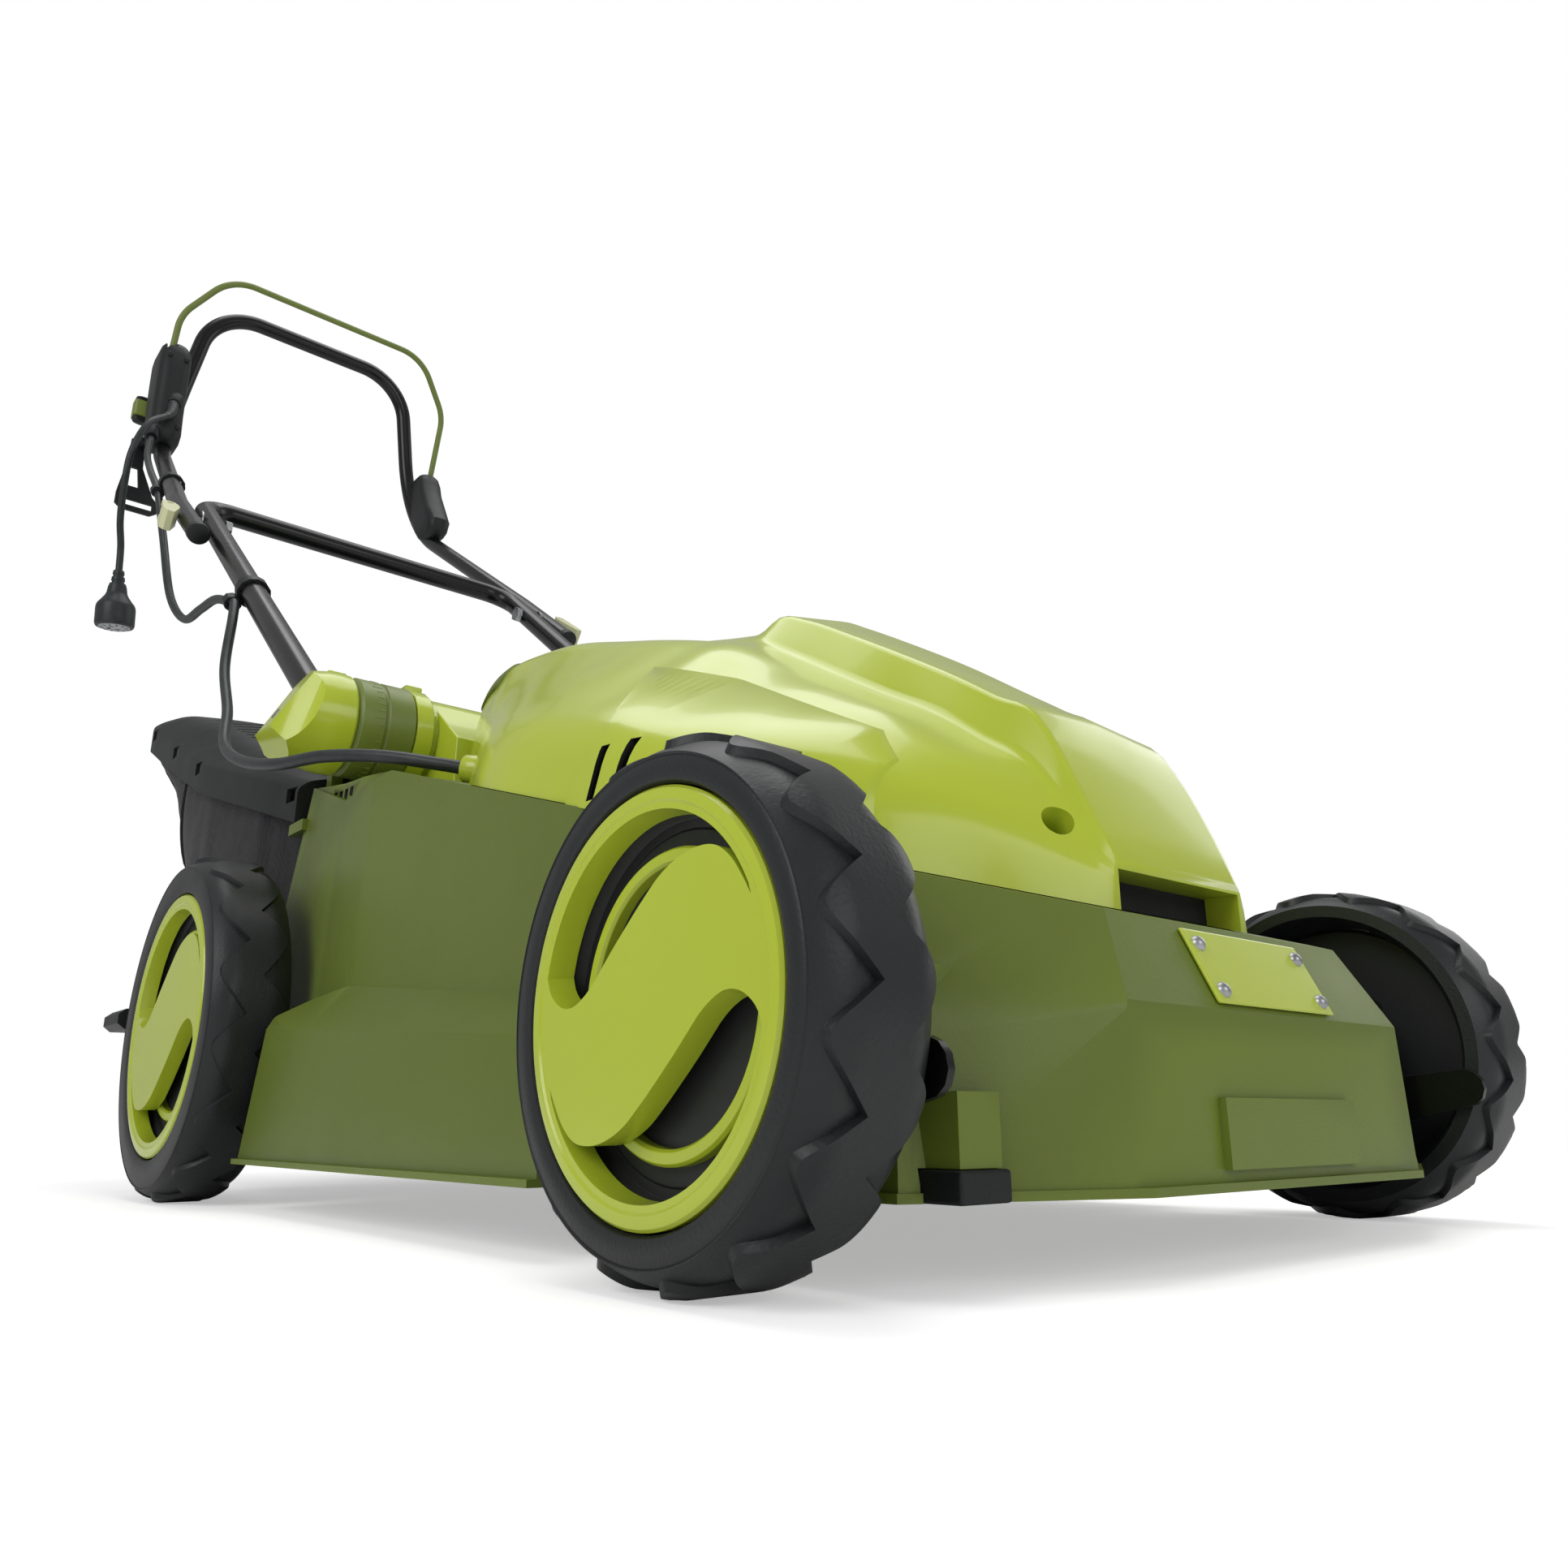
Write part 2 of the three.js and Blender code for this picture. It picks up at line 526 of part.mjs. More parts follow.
function heightLever() {
  const from = armInner - 1 - LEVER_THICKNESS;
  const [x0, x1] = spanX(-1, from, from + LEVER_THICKNESS);
  const arm = [
    [rearPivot.y, rearPivot.z - 9], [gripFront + 6, LEVER_GRIP.bottom - 4], [gripFront + 16, LEVER_GRIP.bottom + 4],
    [gripFront + 12, LEVER_GRIP.top], [gripFront, LEVER_GRIP.top], [rearPivot.y, rearPivot.z + 9],
  ];
  const hub = rod('x', LEVER_HUB, x0, x1, [rearPivot.y, rearPivot.z], 20);
  const bar = block(-gripInner - 1, x1, gripFront, gripFront + 14, LEVER_GRIP.bottom, LEVER_GRIP.top);
  const grip = prism('y', [
    [-wheelOuter, LEVER_GRIP.bottom + 4], [-wheelOuter + 5, LEVER_GRIP.bottom], [-gripInner, LEVER_GRIP.bottom],
    [-gripInner, LEVER_GRIP.top], [-wheelOuter + 5, LEVER_GRIP.top], [-wheelOuter, LEVER_GRIP.top - 4],
  ], gripFront, gripFront + LEVER_GRIP.length);
  const bore = rod('x', AXLE_RADIUS + RUNNING_GAP, x0 - 1, x1 + 1, [rearPivot.y, rearPivot.z]);
  return cut(join(prism('x', arm, x0, x1), hub, bar, grip), bore);
}

piece('link_rod', linkRod(), 'steel');
piece('height_lever', heightLever(), 'black');

// ---------------------------------------------------------------- deck
const DECK_TOP = TAIL_TOP.z + 30;
const FAR = 400; // beyond the part in any direction across it

function seamZ(y) {
  if (y <= SHOULDER_Y) return SEAM_Z + SEAM_SLOPE * y;
  const shoulder = SEAM_Z + SEAM_SLOPE * SHOULDER_Y;
  return shoulder + (SHELF.z - shoulder) * (y - SHOULDER_Y) / (SHELF.y - SHOULDER_Y);
}

// the top line of the deck from the nose to the tail, as a region below it
const deckOutline = (lift = 0) => [
  [NOSE.y - lift, DECK_BOTTOM - lift], [TAIL_FOOT.y + lift, DECK_BOTTOM - lift], [TAIL_FOOT.y + lift, TAIL_FOOT.z],
  [TAIL_TOP.y + lift, TAIL_TOP.z + lift], [SHELF.y, SHELF.z + lift], [SHOULDER_Y, seamZ(SHOULDER_Y) + lift],
  [BAND_TOP_Y, seamZ(BAND_TOP_Y) + lift], [NOSE.y - lift, NOSE.crease + lift],
];

function plan({ nose, corner }, grow) {
  return mirror([
    [nose[0] + grow, nose[1] - grow], [corner[0] + grow, corner[1] - grow / 2],
    [WAIST_HALF + grow, SKIRT.front + 4], [BODY_HALF + grow, SKIRT.front + 26],
    [BODY_HALF + grow, SKIRT.back - 94], [TAIL_HALF + grow, SKIRT.back + 54], [TAIL_HALF + grow, TAIL_FOOT.y + 20],
  ]);
}

const [FOOT, , BROW] = FRONTS;
const planLoft = (grow) => loft([...FRONTS, { ...BROW, z: DECK_TOP }].map((level) => {
  const lean = TAPER - 2 * TAPER * (level.z - DECK_BOTTOM) / (DECK_TOP - DECK_BOTTOM);
  return plan(level, grow + lean).map(([x, y]) => [x, y, level.z]);
}));

// the hood's own outline where it stands on the deck
const hoodPlan = (grow) => prism('z', mirror(HOOD.map(([y, , half], i) => [
  half + grow, y - (i === 0 ? grow : 0),
])), 0, FAR);

// the skirt beside the blade: an upright wall under a sloping ledge that dies out towards the back
function skirt(side, inset) {
  const outer = SKIRT.half - inset;
  const inner = WAIST_HALF - 12;
  const bottom = DECK_BOTTOM - inset;
  const stations = [[SKIRT.front + inset, 0], [372, 0], [405, 8], [440, 20], [SKIRT.back - inset, 22]];
  const rings = stations.map(([y, run]) => {
    const edge = 75 + 0.0627 * y - inset;
    const root = Math.max(edge, 88 + 0.099 * y - inset - run * 1.1);
    const section = [[outer, bottom], [outer, edge], [BODY_HALF + run - inset, root], [inner, root], [inner, bottom]];
    return section.map(([x, z]) => [side * x, y, z]);
  });
  const back = SKIRT.back - inset;
  const slope = prism('x', [
    [back, DECK_BOTTOM], [back + 1, DECK_BOTTOM - 20], [back + 60, DECK_BOTTOM - 20],
    [back + 60, DECK_BOTTOM + 120], [back - 120 * SKIRT.lean, DECK_BOTTOM + 120],
  ], -FAR, FAR);
  return cut(loft(rings), slope);
}

const flapAt = [FLAP.y, FLAP.z];

function deckShell() {
  const outside = planLoft(0).intersect(prism('x', deckOutline(), -FAR, FAR));
  const tail = block(-FAR, FAR, SKIRT.back + WALL, TAIL_FOOT.y + 30, DECK_BOTTOM - 5, TAIL_BOTTOM);
  const lip = prism('z', plan(FOOT, LIP), DECK_BOTTOM, DECK_BOTTOM + 3)
    .intersect(block(-FAR, FAR, -FAR, SKIRT.front - 12, 0, FAR));
  const boss = block(BOSS.right, BOSS.left, NOSE.y - 3, NOSE.y + 1, BOSS.bottom, BOSS.top);
  const pairs = SIDES.flatMap(([, side]) => [
    skirt(side, 0),
    block(...spanX(side, SKIRT.half - 1, SKIRT.half + LIP), SKIRT.front, SKIRT.back - 2, DECK_BOTTOM, DECK_BOTTOM + 3),
    block(...spanX(side, FLAP.half + 1, FLAP.half + 1 + FLAP.ear), FLAP.y - 5, FLAP.y + 5, CHUTE.roof + 2, FLAP.z + 6),
    block(
      ...spanX(side, LID[0][2] - BAG_LUG.width, LID[0][2]), TAIL_TOP.y + 4, LID[0][0] + BAG_LUG.reach,
      LID[0][1] - GAP - BAG_LUG.height, LID[0][1] - GAP,
    ),
  ]);
  const post = block(-POST.outer, -POST.inner, POST.front, POST.back, BEARING.bottom, POST.top);
  const body = cut(join(outside, lip, boss, post, pairs), tail);

  const chamber = planLoft(-WALL).intersect(prism('x', [
    [NOSE.y + WALL, DECK_BOTTOM - 5], [SKIRT.back - WALL, DECK_BOTTOM - 5], [SKIRT.back - WALL, CHAMBER_TOP],
    [BAND_TOP_Y + WALL, CHAMBER_TOP], [NOSE.y + WALL, NOSE.crease - WALL],
  ], -FAR, FAR));
  const chamberMouth = prism('z', plan(FOOT, -WALL + TAPER), DECK_BOTTOM - 5, DECK_BOTTOM + 1)
    .intersect(block(-FAR, FAR, NOSE.y + WALL, SKIRT.back - WALL, 0, FAR));
  const rooms = SIDES.map(([, side]) => cut(
    skirt(side, WALL), block(-BODY_HALF - TAPER, BODY_HALF + TAPER, -FAR, FAR * 2, CHAMBER_TOP, FAR),
  ));
  const chute = prism('x', [
    [CHUTE.start, CHAMBER_TOP - 10], [SKIRT.back - WALL - 8, CHAMBER_TOP - 10], [SKIRT.back + WALL, TAIL_BOTTOM + WALL],
    [TAIL_FOOT.y + 30, TAIL_BOTTOM + WALL], [TAIL_FOOT.y + 30, CHUTE.roof], [TAIL_TOP.y - 30, CHUTE.roof],
    [CHUTE.roofStart, CHUTE.roof - 62],
  ], -CHUTE.half, CHUTE.half);
  const floor = CHAMBER_TOP + WALL;
  const upperRoom = planLoft(-WALL).intersect(prism('x', [
    [BAND_TOP_Y + 2 * WALL, floor], [CHUTE.start - WALL, floor], [CHUTE.roofStart - 2 * WALL, CHUTE.roof - 62],
    [SHELF.y - WALL, CHUTE.roof], [SHELF.y - WALL, DECK_TOP], [BAND_TOP_Y + 2 * WALL, DECK_TOP],
  ], -FAR, FAR)).intersect(hoodPlan(-WALL));
  // hollows under the shelves beside the hood's nose
  const brows = cut(planLoft(-WALL).intersect(prism('x', [
    [BAND_TOP_Y + WALL, CHAMBER_TOP - 1], [SKIRT.front, CHAMBER_TOP - 1],
    [SKIRT.front, seamZ(SKIRT.front) - WALL], [BAND_TOP_Y + WALL, seamZ(BAND_TOP_Y) - WALL],
  ], -FAR, FAR)), hoodPlan(0));
  const capRooms = SIDES.map(([label, side]) => {
    const { inner, outer, front } = FRONT_CAP[label];
    return block(
      ...spanX(side, inner - GAP, outer + GAP), front - LIP, BEARING.back + GAP, DECK_BOTTOM - 1, BEARING.bottom,
    );
  });
  const bearings = SIDES.map(([, side]) => block(
    ...spanX(side, BEARING.inner, BEARING.outer), BEARING.front, BEARING.back, BEARING.bottom, CHAMBER_TOP + 1,
  ));
  const rodHole = ({ y, z }) => rod('x', AXLE_RADIUS + RUNNING_GAP, -armInner, armInner, [y, z]);
  return cut(
    join(cut(body, chamber, chamberMouth, rooms, chute, upperRoom, brows), bearings), capRooms,
    rod('z', SHAFT_HOLE, CHAMBER_TOP - 2, floor + 2, [0, MOTOR.y], 24),
    rodHole(frontPivot),
    rod('x', FLAP.pin + RUNNING_GAP, -FAR, FAR, flapAt, 12),
  );
}

piece('deck_shell', deckShell(), 'olive');

// caps under the front bearings, and blocks under the tail that hold the rear crank
for (const [label, side] of SIDES) {
  const { inner, outer, front } = FRONT_CAP[label];
  const cap = block(
    ...spanX(side, inner, outer), front, BEARING.back, FRONT_CAP_BOTTOM, BEARING.bottom - GAP,
  );
  const support = cut(
    block(
      ...spanX(side, BLOCK.inner, BLOCK.outer), rearPivot.y - BLOCK.half, rearPivot.y + BLOCK.half,
      rearPivot.z - BLOCK.below, TAIL_BOTTOM - GAP,
    ),
    rod('x', AXLE_RADIUS + RUNNING_GAP, -FAR, FAR, [rearPivot.y, rearPivot.z]),
  );
  piece(`front_${label}_axle_block`, cap, 'black');
  piece(`rear_${label}_axle_block`, support, 'black');
}

// the plate on the nose lies flat on the sloping band
function nosePlate() {
  const slope = (BAND_TOP_Y - NOSE.y) / (seamZ(BAND_TOP_Y) - NOSE.crease);
  const onBand = (z, out) => [NOSE.y + (z - NOSE.crease) * slope - out, z];
  return prism('x', [
    onBand(PLATE.bottom, GAP), onBand(PLATE.top, GAP),
    onBand(PLATE.top, GAP + PLATE.thickness), onBand(PLATE.bottom, GAP + PLATE.thickness),
  ], -PLATE.half, PLATE.half);
}

piece('front_plate', nosePlate(), 'lime');

// ---------------------------------------------------------------- hood
function hoodLoft(inset) {
  const last = HOOD.length - 1;
  return loft(HOOD.map(([y, top, half], i) => {
    const shift = i === 0 ? inset : i === last ? -inset : 0;
    const below = inset > 0 ? -2 * HOOD_WALL : GAP;
    const profile = [...top, [half, seamZ(y) + GAP]].map(([x, z]) => [
      Math.max(0, x - Math.sign(x) * inset), z - 1.25 * inset,
    ]);
    profile[profile.length - 1][1] = seamZ(y) + below;
    const ring = [...profile, ...profile.slice(1).map(([x, z]) => [-x, z]).reverse()];
    return ring.map(([x, z]) => [x, y + shift, z]);
  }));
}

const deckPlanAbove = (grow) => loft([
  plan(BROW, grow).map(([x, y]) => [x, y, 0]), plan(BROW, grow - TAPER).map(([x, y]) => [x, y, FAR]),
]);
const ventSlots = SIDES.flatMap(([, side]) => [VENT.y, VENT.y + VENT.pitch].map((y) => prism('x', [
  [y, VENT.z], [y + VENT.width, VENT.z], [y + VENT.width - VENT.lean, VENT.z + VENT.height],
  [y - VENT.lean, VENT.z + VENT.height],
], ...spanX(side, WAIST_HALF - 3 * HOOD_WALL, FAR))));
const intake = block(-INTAKE.half, INTAKE.half, -FAR, HOOD[1][0] + 9, INTAKE.bottom, INTAKE.top);
const footRegion = block(-FAR, FAR, FOOT_FRONT - 4 * GAP, FAR * 2, 0, FAR);

function hoodShell() {
  const outer = hoodLoft(0).intersect(deckPlanAbove(0));
  const inner = hoodLoft(HOOD_WALL).intersect(deckPlanAbove(-HOOD_WALL));
  return cut(join(outer, gland(CABLE_ENTRY, ENTRY_WAY, 24)), inner, intake, ventSlots, footRegion);
}

// a raised panel on each side of the hood
function sidePanel(side) {
  const outline = [[178, 202], [181, 240], [152, 262], [26, 203], [8, 186], [4, 146]];
  const skin = cut(hoodLoft(-GAP - PANEL_THICKNESS), hoodLoft(-GAP));
  return cut(
    skin.intersect(prism('x', outline, ...spanX(side, 104, FAR))).intersect(deckPlanAbove(0)), ventSlots,
  );
}

piece('hood_shell', hoodShell(), 'lime');
for (const [label, side] of SIDES) piece(`hood_${label}_panel`, sidePanel(side), 'lime');

// ---------------------------------------------------------------- motor, blade and fan
const floorTop = CHAMBER_TOP + WALL;
const up = new THREE.Vector3(0, 0, 1);
const onShaft = (z) => new THREE.Vector3(0, MOTOR.y, z);

function motorCan() {
  const base = GAP;
  const inside = MOTOR.radius - MOTOR.wall;
  return turned([
    [SHAFT_RADIUS + RUNNING_GAP, base], [MOTOR.radius, base], [MOTOR.radius, MOTOR.height - 8],
    [MOTOR.radius - 8, MOTOR.height], [22, MOTOR.height], [22, MOTOR.height - MOTOR.wall],
    [inside - 8, MOTOR.height - MOTOR.wall], [inside, MOTOR.height - 8 - MOTOR.wall],
    [inside, base + MOTOR.wall], [SHAFT_RADIUS + RUNNING_GAP, base + MOTOR.wall],
  ], onShaft(floorTop), up, 24);
}

const bladeTop = BLADE.z + BLADE.thickness / 2;
const shaftFoot = 66;

// the armature on its shaft, with the cooling fan's blades round its top
function motorRotor() {
  const shaft = rod('z', SHAFT_RADIUS, shaftFoot, floorTop + MOTOR.height - 2, [0, MOTOR.y], 16);
  const low = floorTop + 16;
  const fanLow = floorTop + MOTOR.height - MOTOR.wall - 8 - FAN.height;
  const armature = rod('z', ARMATURE_RADIUS, low, fanLow - 12, [0, MOTOR.y], 16);
  const disc = rod('z', FAN.radius - 6, fanLow - 3, fanLow, [0, MOTOR.y], 16);
  const blades = Array.from({ length: FAN.blades }, (_, i) => {
    const turn = new THREE.Matrix4().makeRotationZ(2 * Math.PI * i / FAN.blades);
    const fin = new THREE.BoxGeometry(FAN.radius - 20, 2, FAN.height);
    fin.translate(16 + (FAN.radius - 20) / 2, 0, fanLow + FAN.height / 2 - 1);
    fin.applyMatrix4(turn).translate(0, MOTOR.y, 0);
    return solid(fin);
  });
  return join(shaft, armature, disc, blades);
}

function bladeCarrier() {
  return turned([
    [BLADE_BOLT.radius + GAP, 0], [CARRIER_RADIUS, 0], [CARRIER_RADIUS, 5], [16, 9], [16, shaftFoot - bladeTop + 16],
    [SHAFT_RADIUS + GAP, shaftFoot - bladeTop + 16], [SHAFT_RADIUS + GAP, shaftFoot - bladeTop - 2 * GAP],
    [BLADE_BOLT.radius + GAP, shaftFoot - bladeTop - 2 * GAP],
  ], onShaft(bladeTop + GAP), up, 16);
}

function bladeBar() {
  const half = BLADE.length / 2;
  const [w, t] = [BLADE.width / 2, BLADE.thickness / 2];
  const flat = prism('z', [
    [-half, -w * 0.55], [-half + 14, -w], [half, -w], [half, w * 0.55], [half - 14, w], [-half, w],
  ].map(([x, y]) => [x, y + MOTOR.y]), BLADE.z - t, BLADE.z + t);
  const wings = [1, -1].map((way) => prism('x', [
    [MOTOR.y + way * (w - 6), BLADE.z - t], [MOTOR.y + way * w, BLADE.z - t],
    [MOTOR.y + way * w, BLADE.z + BLADE.wing], [MOTOR.y + way * (w - 4), BLADE.z + BLADE.wing],
  ], ...spanX(way, half - 70, half - 15)));
  return cut(join(flat, wings), rod('z', BLADE_BOLT.radius + GAP, 0, 99, [0, MOTOR.y], 16));
}

function bladeBolt() {
  const shank = rod('z', BLADE_BOLT.radius, BLADE.z - BLADE.thickness / 2 - 2, shaftFoot - GAP, [0, MOTOR.y], 12);
  const headTop = BLADE.z - BLADE.thickness / 2 - GAP;
  return join(shank, rod('z', BLADE_BOLT.head, headTop - 9, headTop, [0, MOTOR.y], 6));
}

piece('motor_can', motorCan(), 'black');
piece('motor_rotor', motorRotor(), 'steel');
piece('blade_carrier', bladeCarrier(), 'black');
piece('cutting_blade', bladeBar(), 'steel');
piece('blade_bolt', bladeBolt(), 'steel');

// ---------------------------------------------------------------- handle pivots
function neckPiece(side) {
  const [a, b] = [NECK.inner, NECK.flange];
  const hub = turned([
    [0, a], [NECK.radius, a], [NECK.radius, b], [BARREL_RADIUS, b], [BARREL_RADIUS, NECK.ring],
    [NECK.spindle, NECK.ring], [NECK.spindle, NECK.end], [0, NECK.end],
  ], new THREE.Vector3(0, PIVOT.y, PIVOT.z), new THREE.Vector3(side, 0, 0), BARREL_SIDES);
  const tab = block(...spanX(side, b, NECK.ring), PIVOT.y - 7, PIVOT.y + 7, PIVOT.z + 20, PIVOT.z + BARREL_RADIUS + 4);
  const foot = prism('x', [
    [FOOT_FRONT, SHELF.z], [PIVOT.y + 18, SHELF.z], [PIVOT.y + 24, PIVOT.z - 8], [PIVOT.y, PIVOT.z + NECK.radius],
    [PIVOT.y - 12, PIVOT.z + NECK.radius - 3], [FOOT_FRONT, PIVOT.z - 12],
  ], ...spanX(side, a, b - 4));
  return cut(join(hub, tab, foot), prism('x', deckOutline(GAP), -FAR, FAR));
}

function pivotRing(side) {
  const [a, b] = [NECK.ring + GAP, NECK.cap - GAP];
  const middle = (a + b) / 2;
  return turned([
    [NECK.spindle + GAP, a], [BARREL_RADIUS, a], [BARREL_RADIUS, middle - 1], [BARREL_RADIUS - 2, middle - 1],
    [BARREL_RADIUS - 2, middle + 1], [BARREL_RADIUS, middle + 1], [BARREL_RADIUS, b - 3], [BARREL_RADIUS - 3, b],
    [NECK.spindle + GAP, b],
  ], new THREE.Vector3(0, PIVOT.y, PIVOT.z), new THREE.Vector3(side, 0, 0), BARREL_SIDES);
}

for (const [label, side] of SIDES) {
  piece(`handle_${label}_neck`, neckPiece(side), 'lime');
  piece(`handle_${label}_pivot_ring`, pivotRing(side), 'darkOlive');
}

// ---------------------------------------------------------------- lower handle
const lowerWay = new THREE.Vector3(0, Math.cos(LOWER.angle * deg), Math.sin(LOWER.angle * deg));
const lowerUp = new THREE.Vector3(0, -lowerWay.z, lowerWay.y);
const lowerPoint = (x, along) => new THREE.Vector3(x, PIVOT.y, PIVOT.z)
  .addScaledVector(lowerUp, LOWER.rise).addScaledVector(lowerWay, along);
const alongAt = (y) => (y - lowerPoint(0, 0).y) / lowerWay.y;
const clampAt = lowerPoint(0, alongAt(CLAMP.y));
const lowerPath = new BentPath([
  lowerPoint(-LOWER.half, LOWER.start), lowerPoint(-LOWER.half, alongAt(LOWER.crossbar)),
  lowerPoint(LOWER.half, alongAt(LOWER.crossbar)), lowerPoint(LOWER.half, LOWER.start),
], [LOWER.bend, LOWER.bend]);
const clampHole = rod('x', CLAMP.bolt + GAP, -FAR, FAR, [clampAt.y, clampAt.z], 12);

piece('lower_handle', cut(
  pipe(lowerPath, LOWER.tube), pipe(lowerPath, LOWER.tube - TUBE_WALL, 8), clampHole,
), 'tube');

// the cap on each pivot turns with the lower handle and holds the end of its leg
function handleCap(side) {
  const octagon = (x, radius) => circle(radius, 8).map((p) => {
    const turn = p.rotateAround(new THREE.Vector2(), Math.PI / 8);
    return [side * x, PIVOT.y + turn.x, PIVOT.z + turn.y];
  });
  const { outer, radius, tip } = CAP;
  const body = loft([
    octagon(NECK.cap, radius), octagon(NECK.cap + 14, radius + 1), octagon(outer - 12, tip + 4), octagon(outer, tip - 6),
  ]);
  const end = lowerPoint(side * LOWER.half, LOWER.start);
  const far = lowerPoint(side * LOWER.half, LOWER.start + 60);
  const socket = pipe(new BentPath([end, far], []), LOWER.tube + GAP);
  const bore = rod('x', NECK.spindle + RUNNING_GAP, ...spanX(side, NECK.cap - 1, NECK.end + 1), [PIVOT.y, PIVOT.z], BARREL_SIDES);
  return cut(body, socket, bore);
}

for (const [label, side] of SIDES) piece(`handle_${label}_cap`, handleCap(side), 'lime');

// ---------------------------------------------------------------- upper handle
const upperWay = new THREE.Vector3(0, Math.cos(UPPER.angle * deg), Math.sin(UPPER.angle * deg));
const upperHalf = LOWER.half + LOWER.tube + CLAMP.washer + 2 * GAP + UPPER.tube;
const onUpper = (x, y) => clampAt.clone().setX(x).addScaledVector(upperWay, (y - clampAt.y) / upperWay.y);
const upperStart = onUpper(upperHalf, clampAt.y - UPPER.overlap * upperWay.y);
const upperSide = (side) => [
  upperStart, onUpper(upperHalf, UPPER.knee), onUpper(BEND.half, BEND.y), new THREE.Vector3(GRIP.half, GRIP.y, GRIP.z),
].map((p) => new THREE.Vector3(side * p.x, p.y, p.z));
const upperPath = new BentPath(
  [...upperSide(-1), ...upperSide(1).reverse()],
  [120, BEND.radius, GRIP.radius, GRIP.radius, BEND.radius, 120], 18 * deg,
);

piece('upper_handle', cut(
  pipe(upperPath, UPPER.tube), pipe(upperPath, UPPER.tube - TUBE_WALL, 8), clampHole,
), 'tube');

// bolts through both tubes, each with a cross pin for its lever
const leverX = upperHalf + UPPER.tube + CLAMP.reach;
const clampUp = new THREE.Vector3(0, -upperWay.z, upperWay.y);

function clampBolt(side) {
  const inner = LOWER.half - LOWER.tube - GAP;
  const at = [clampAt.y, clampAt.z];
  const shank = rod('x', CLAMP.bolt, ...spanX(side, inner - 2, leverX + CLAMP.pin), at, 12);
  const head = rod('x', CLAMP.head, ...spanX(side, inner - 6, inner), at, 6);
  const washerFrom = LOWER.half + LOWER.tube + GAP;
  const washer = rod('x', CLAMP.head + 2, ...spanX(side, washerFrom, washerFrom + CLAMP.washer), at, 16);
  const pinAt = clampAt.clone().setX(side * leverX);
  const pin = pipe(new BentPath([
    pinAt.clone().addScaledVector(clampUp, -CLAMP.head), pinAt.clone().addScaledVector(clampUp, CLAMP.head),
  ], []), CLAMP.pin, 12);
  return join(shank, head, washer, pin);
}

// a cam lever, forked round the bolt, lying along the leg when it is closed
function clampLever(side) {
  const width = CLAMP.head + 1;
  const toWorld = new THREE.Matrix4().makeBasis(
    new THREE.Vector3(side, 0, 0), upperWay.clone().negate(), clampUp.clone().multiplyScalar(-side),
  ).setPosition(clampAt.clone().setX(side * leverX));
  const cam = 8;
  const outline = [
    [-cam + 0.5, 2], [-cam + 3, -cam + 2], [0, -cam], [cam - 2, -cam + 2], [cam, 2], [cam + 3, CLAMP.lever - 8],
    [cam, CLAMP.lever], [2, CLAMP.lever], [-2, CLAMP.lever - 14], [-cam + 1, 14],
  ].map(([x, y]) => new THREE.Vector2(x, y));
  const plate = new THREE.ExtrudeGeometry(new THREE.Shape(outline), { depth: 2 * width, bevelEnabled: false });
  plate.translate(0, 0, -width);
  const fork = new THREE.BoxGeometry(60, 3 * cam, 2 * CLAMP.bolt + 3);
  fork.translate(0, 0, 0);
  const eye = new THREE.CylinderGeometry(CLAMP.pin + RUNNING_GAP, CLAMP.pin + RUNNING_GAP, 60, 12);
  eye.rotateX(Math.PI / 2);
  return cut(...[plate, fork, eye].map((shape) => solid(shape.applyMatrix4(toWorld))));
}

for (const [label, side] of SIDES) {
  piece(`clamp_${label}_bolt`, clampBolt(side), 'steel');
  piece(`clamp_${label}_lever`, clampLever(side), 'paleOlive');
}

// ---------------------------------------------------------------- switch box, bail and hook
const gripTunnel = pipe(upperPath, UPPER.tube + GAP);
const bailSide = (side) => [
  [BAIL.pin, BAIL.y, BAIL.z], [BAIL.half, BAIL.y, BAIL.z], [BAIL_KNEE.half, BAIL_KNEE.y, BAIL_KNEE.z],
  [BAIL_TOP.half, BAIL_TOP.y, BAIL_TOP.z],
].map(([x, y, z]) => new THREE.Vector3(side * x, y, z));

function bailRod() {
  const path = new BentPath(
    [...bailSide(-1), ...bailSide(1).reverse()],
    [6, BAIL_KNEE.radius, BAIL_TOP.radius, BAIL_TOP.radius, BAIL_KNEE.radius, 6], 24 * deg,
  );
  return pipe(path, BAIL.rod, 8);
}

// the room that the bail needs in its housing: a fan from the pivot upwards, open at the top
const bailRoom = (side) => join(
  prism('x', [
    [BAIL.y - 6, BAIL.z - 7], [BAIL.y + 6, BAIL.z - 7], [BAIL.y + 7, BAIL.z + 20], [BAIL.y + 12, BAIL.z + 140],
    [BAIL.y - 62, BAIL.z + 140], [BAIL.y - 14, BAIL.z + 20],
  ], ...spanX(side, BAIL.half - BAIL.slot / 2 - 3, BAIL.half + BAIL.slot / 2)),
  rod('x', BAIL.rod + RUNNING_GAP, ...spanX(side, BAIL.pin - 1, BAIL.half), [BAIL.y, BAIL.z], 12),
);

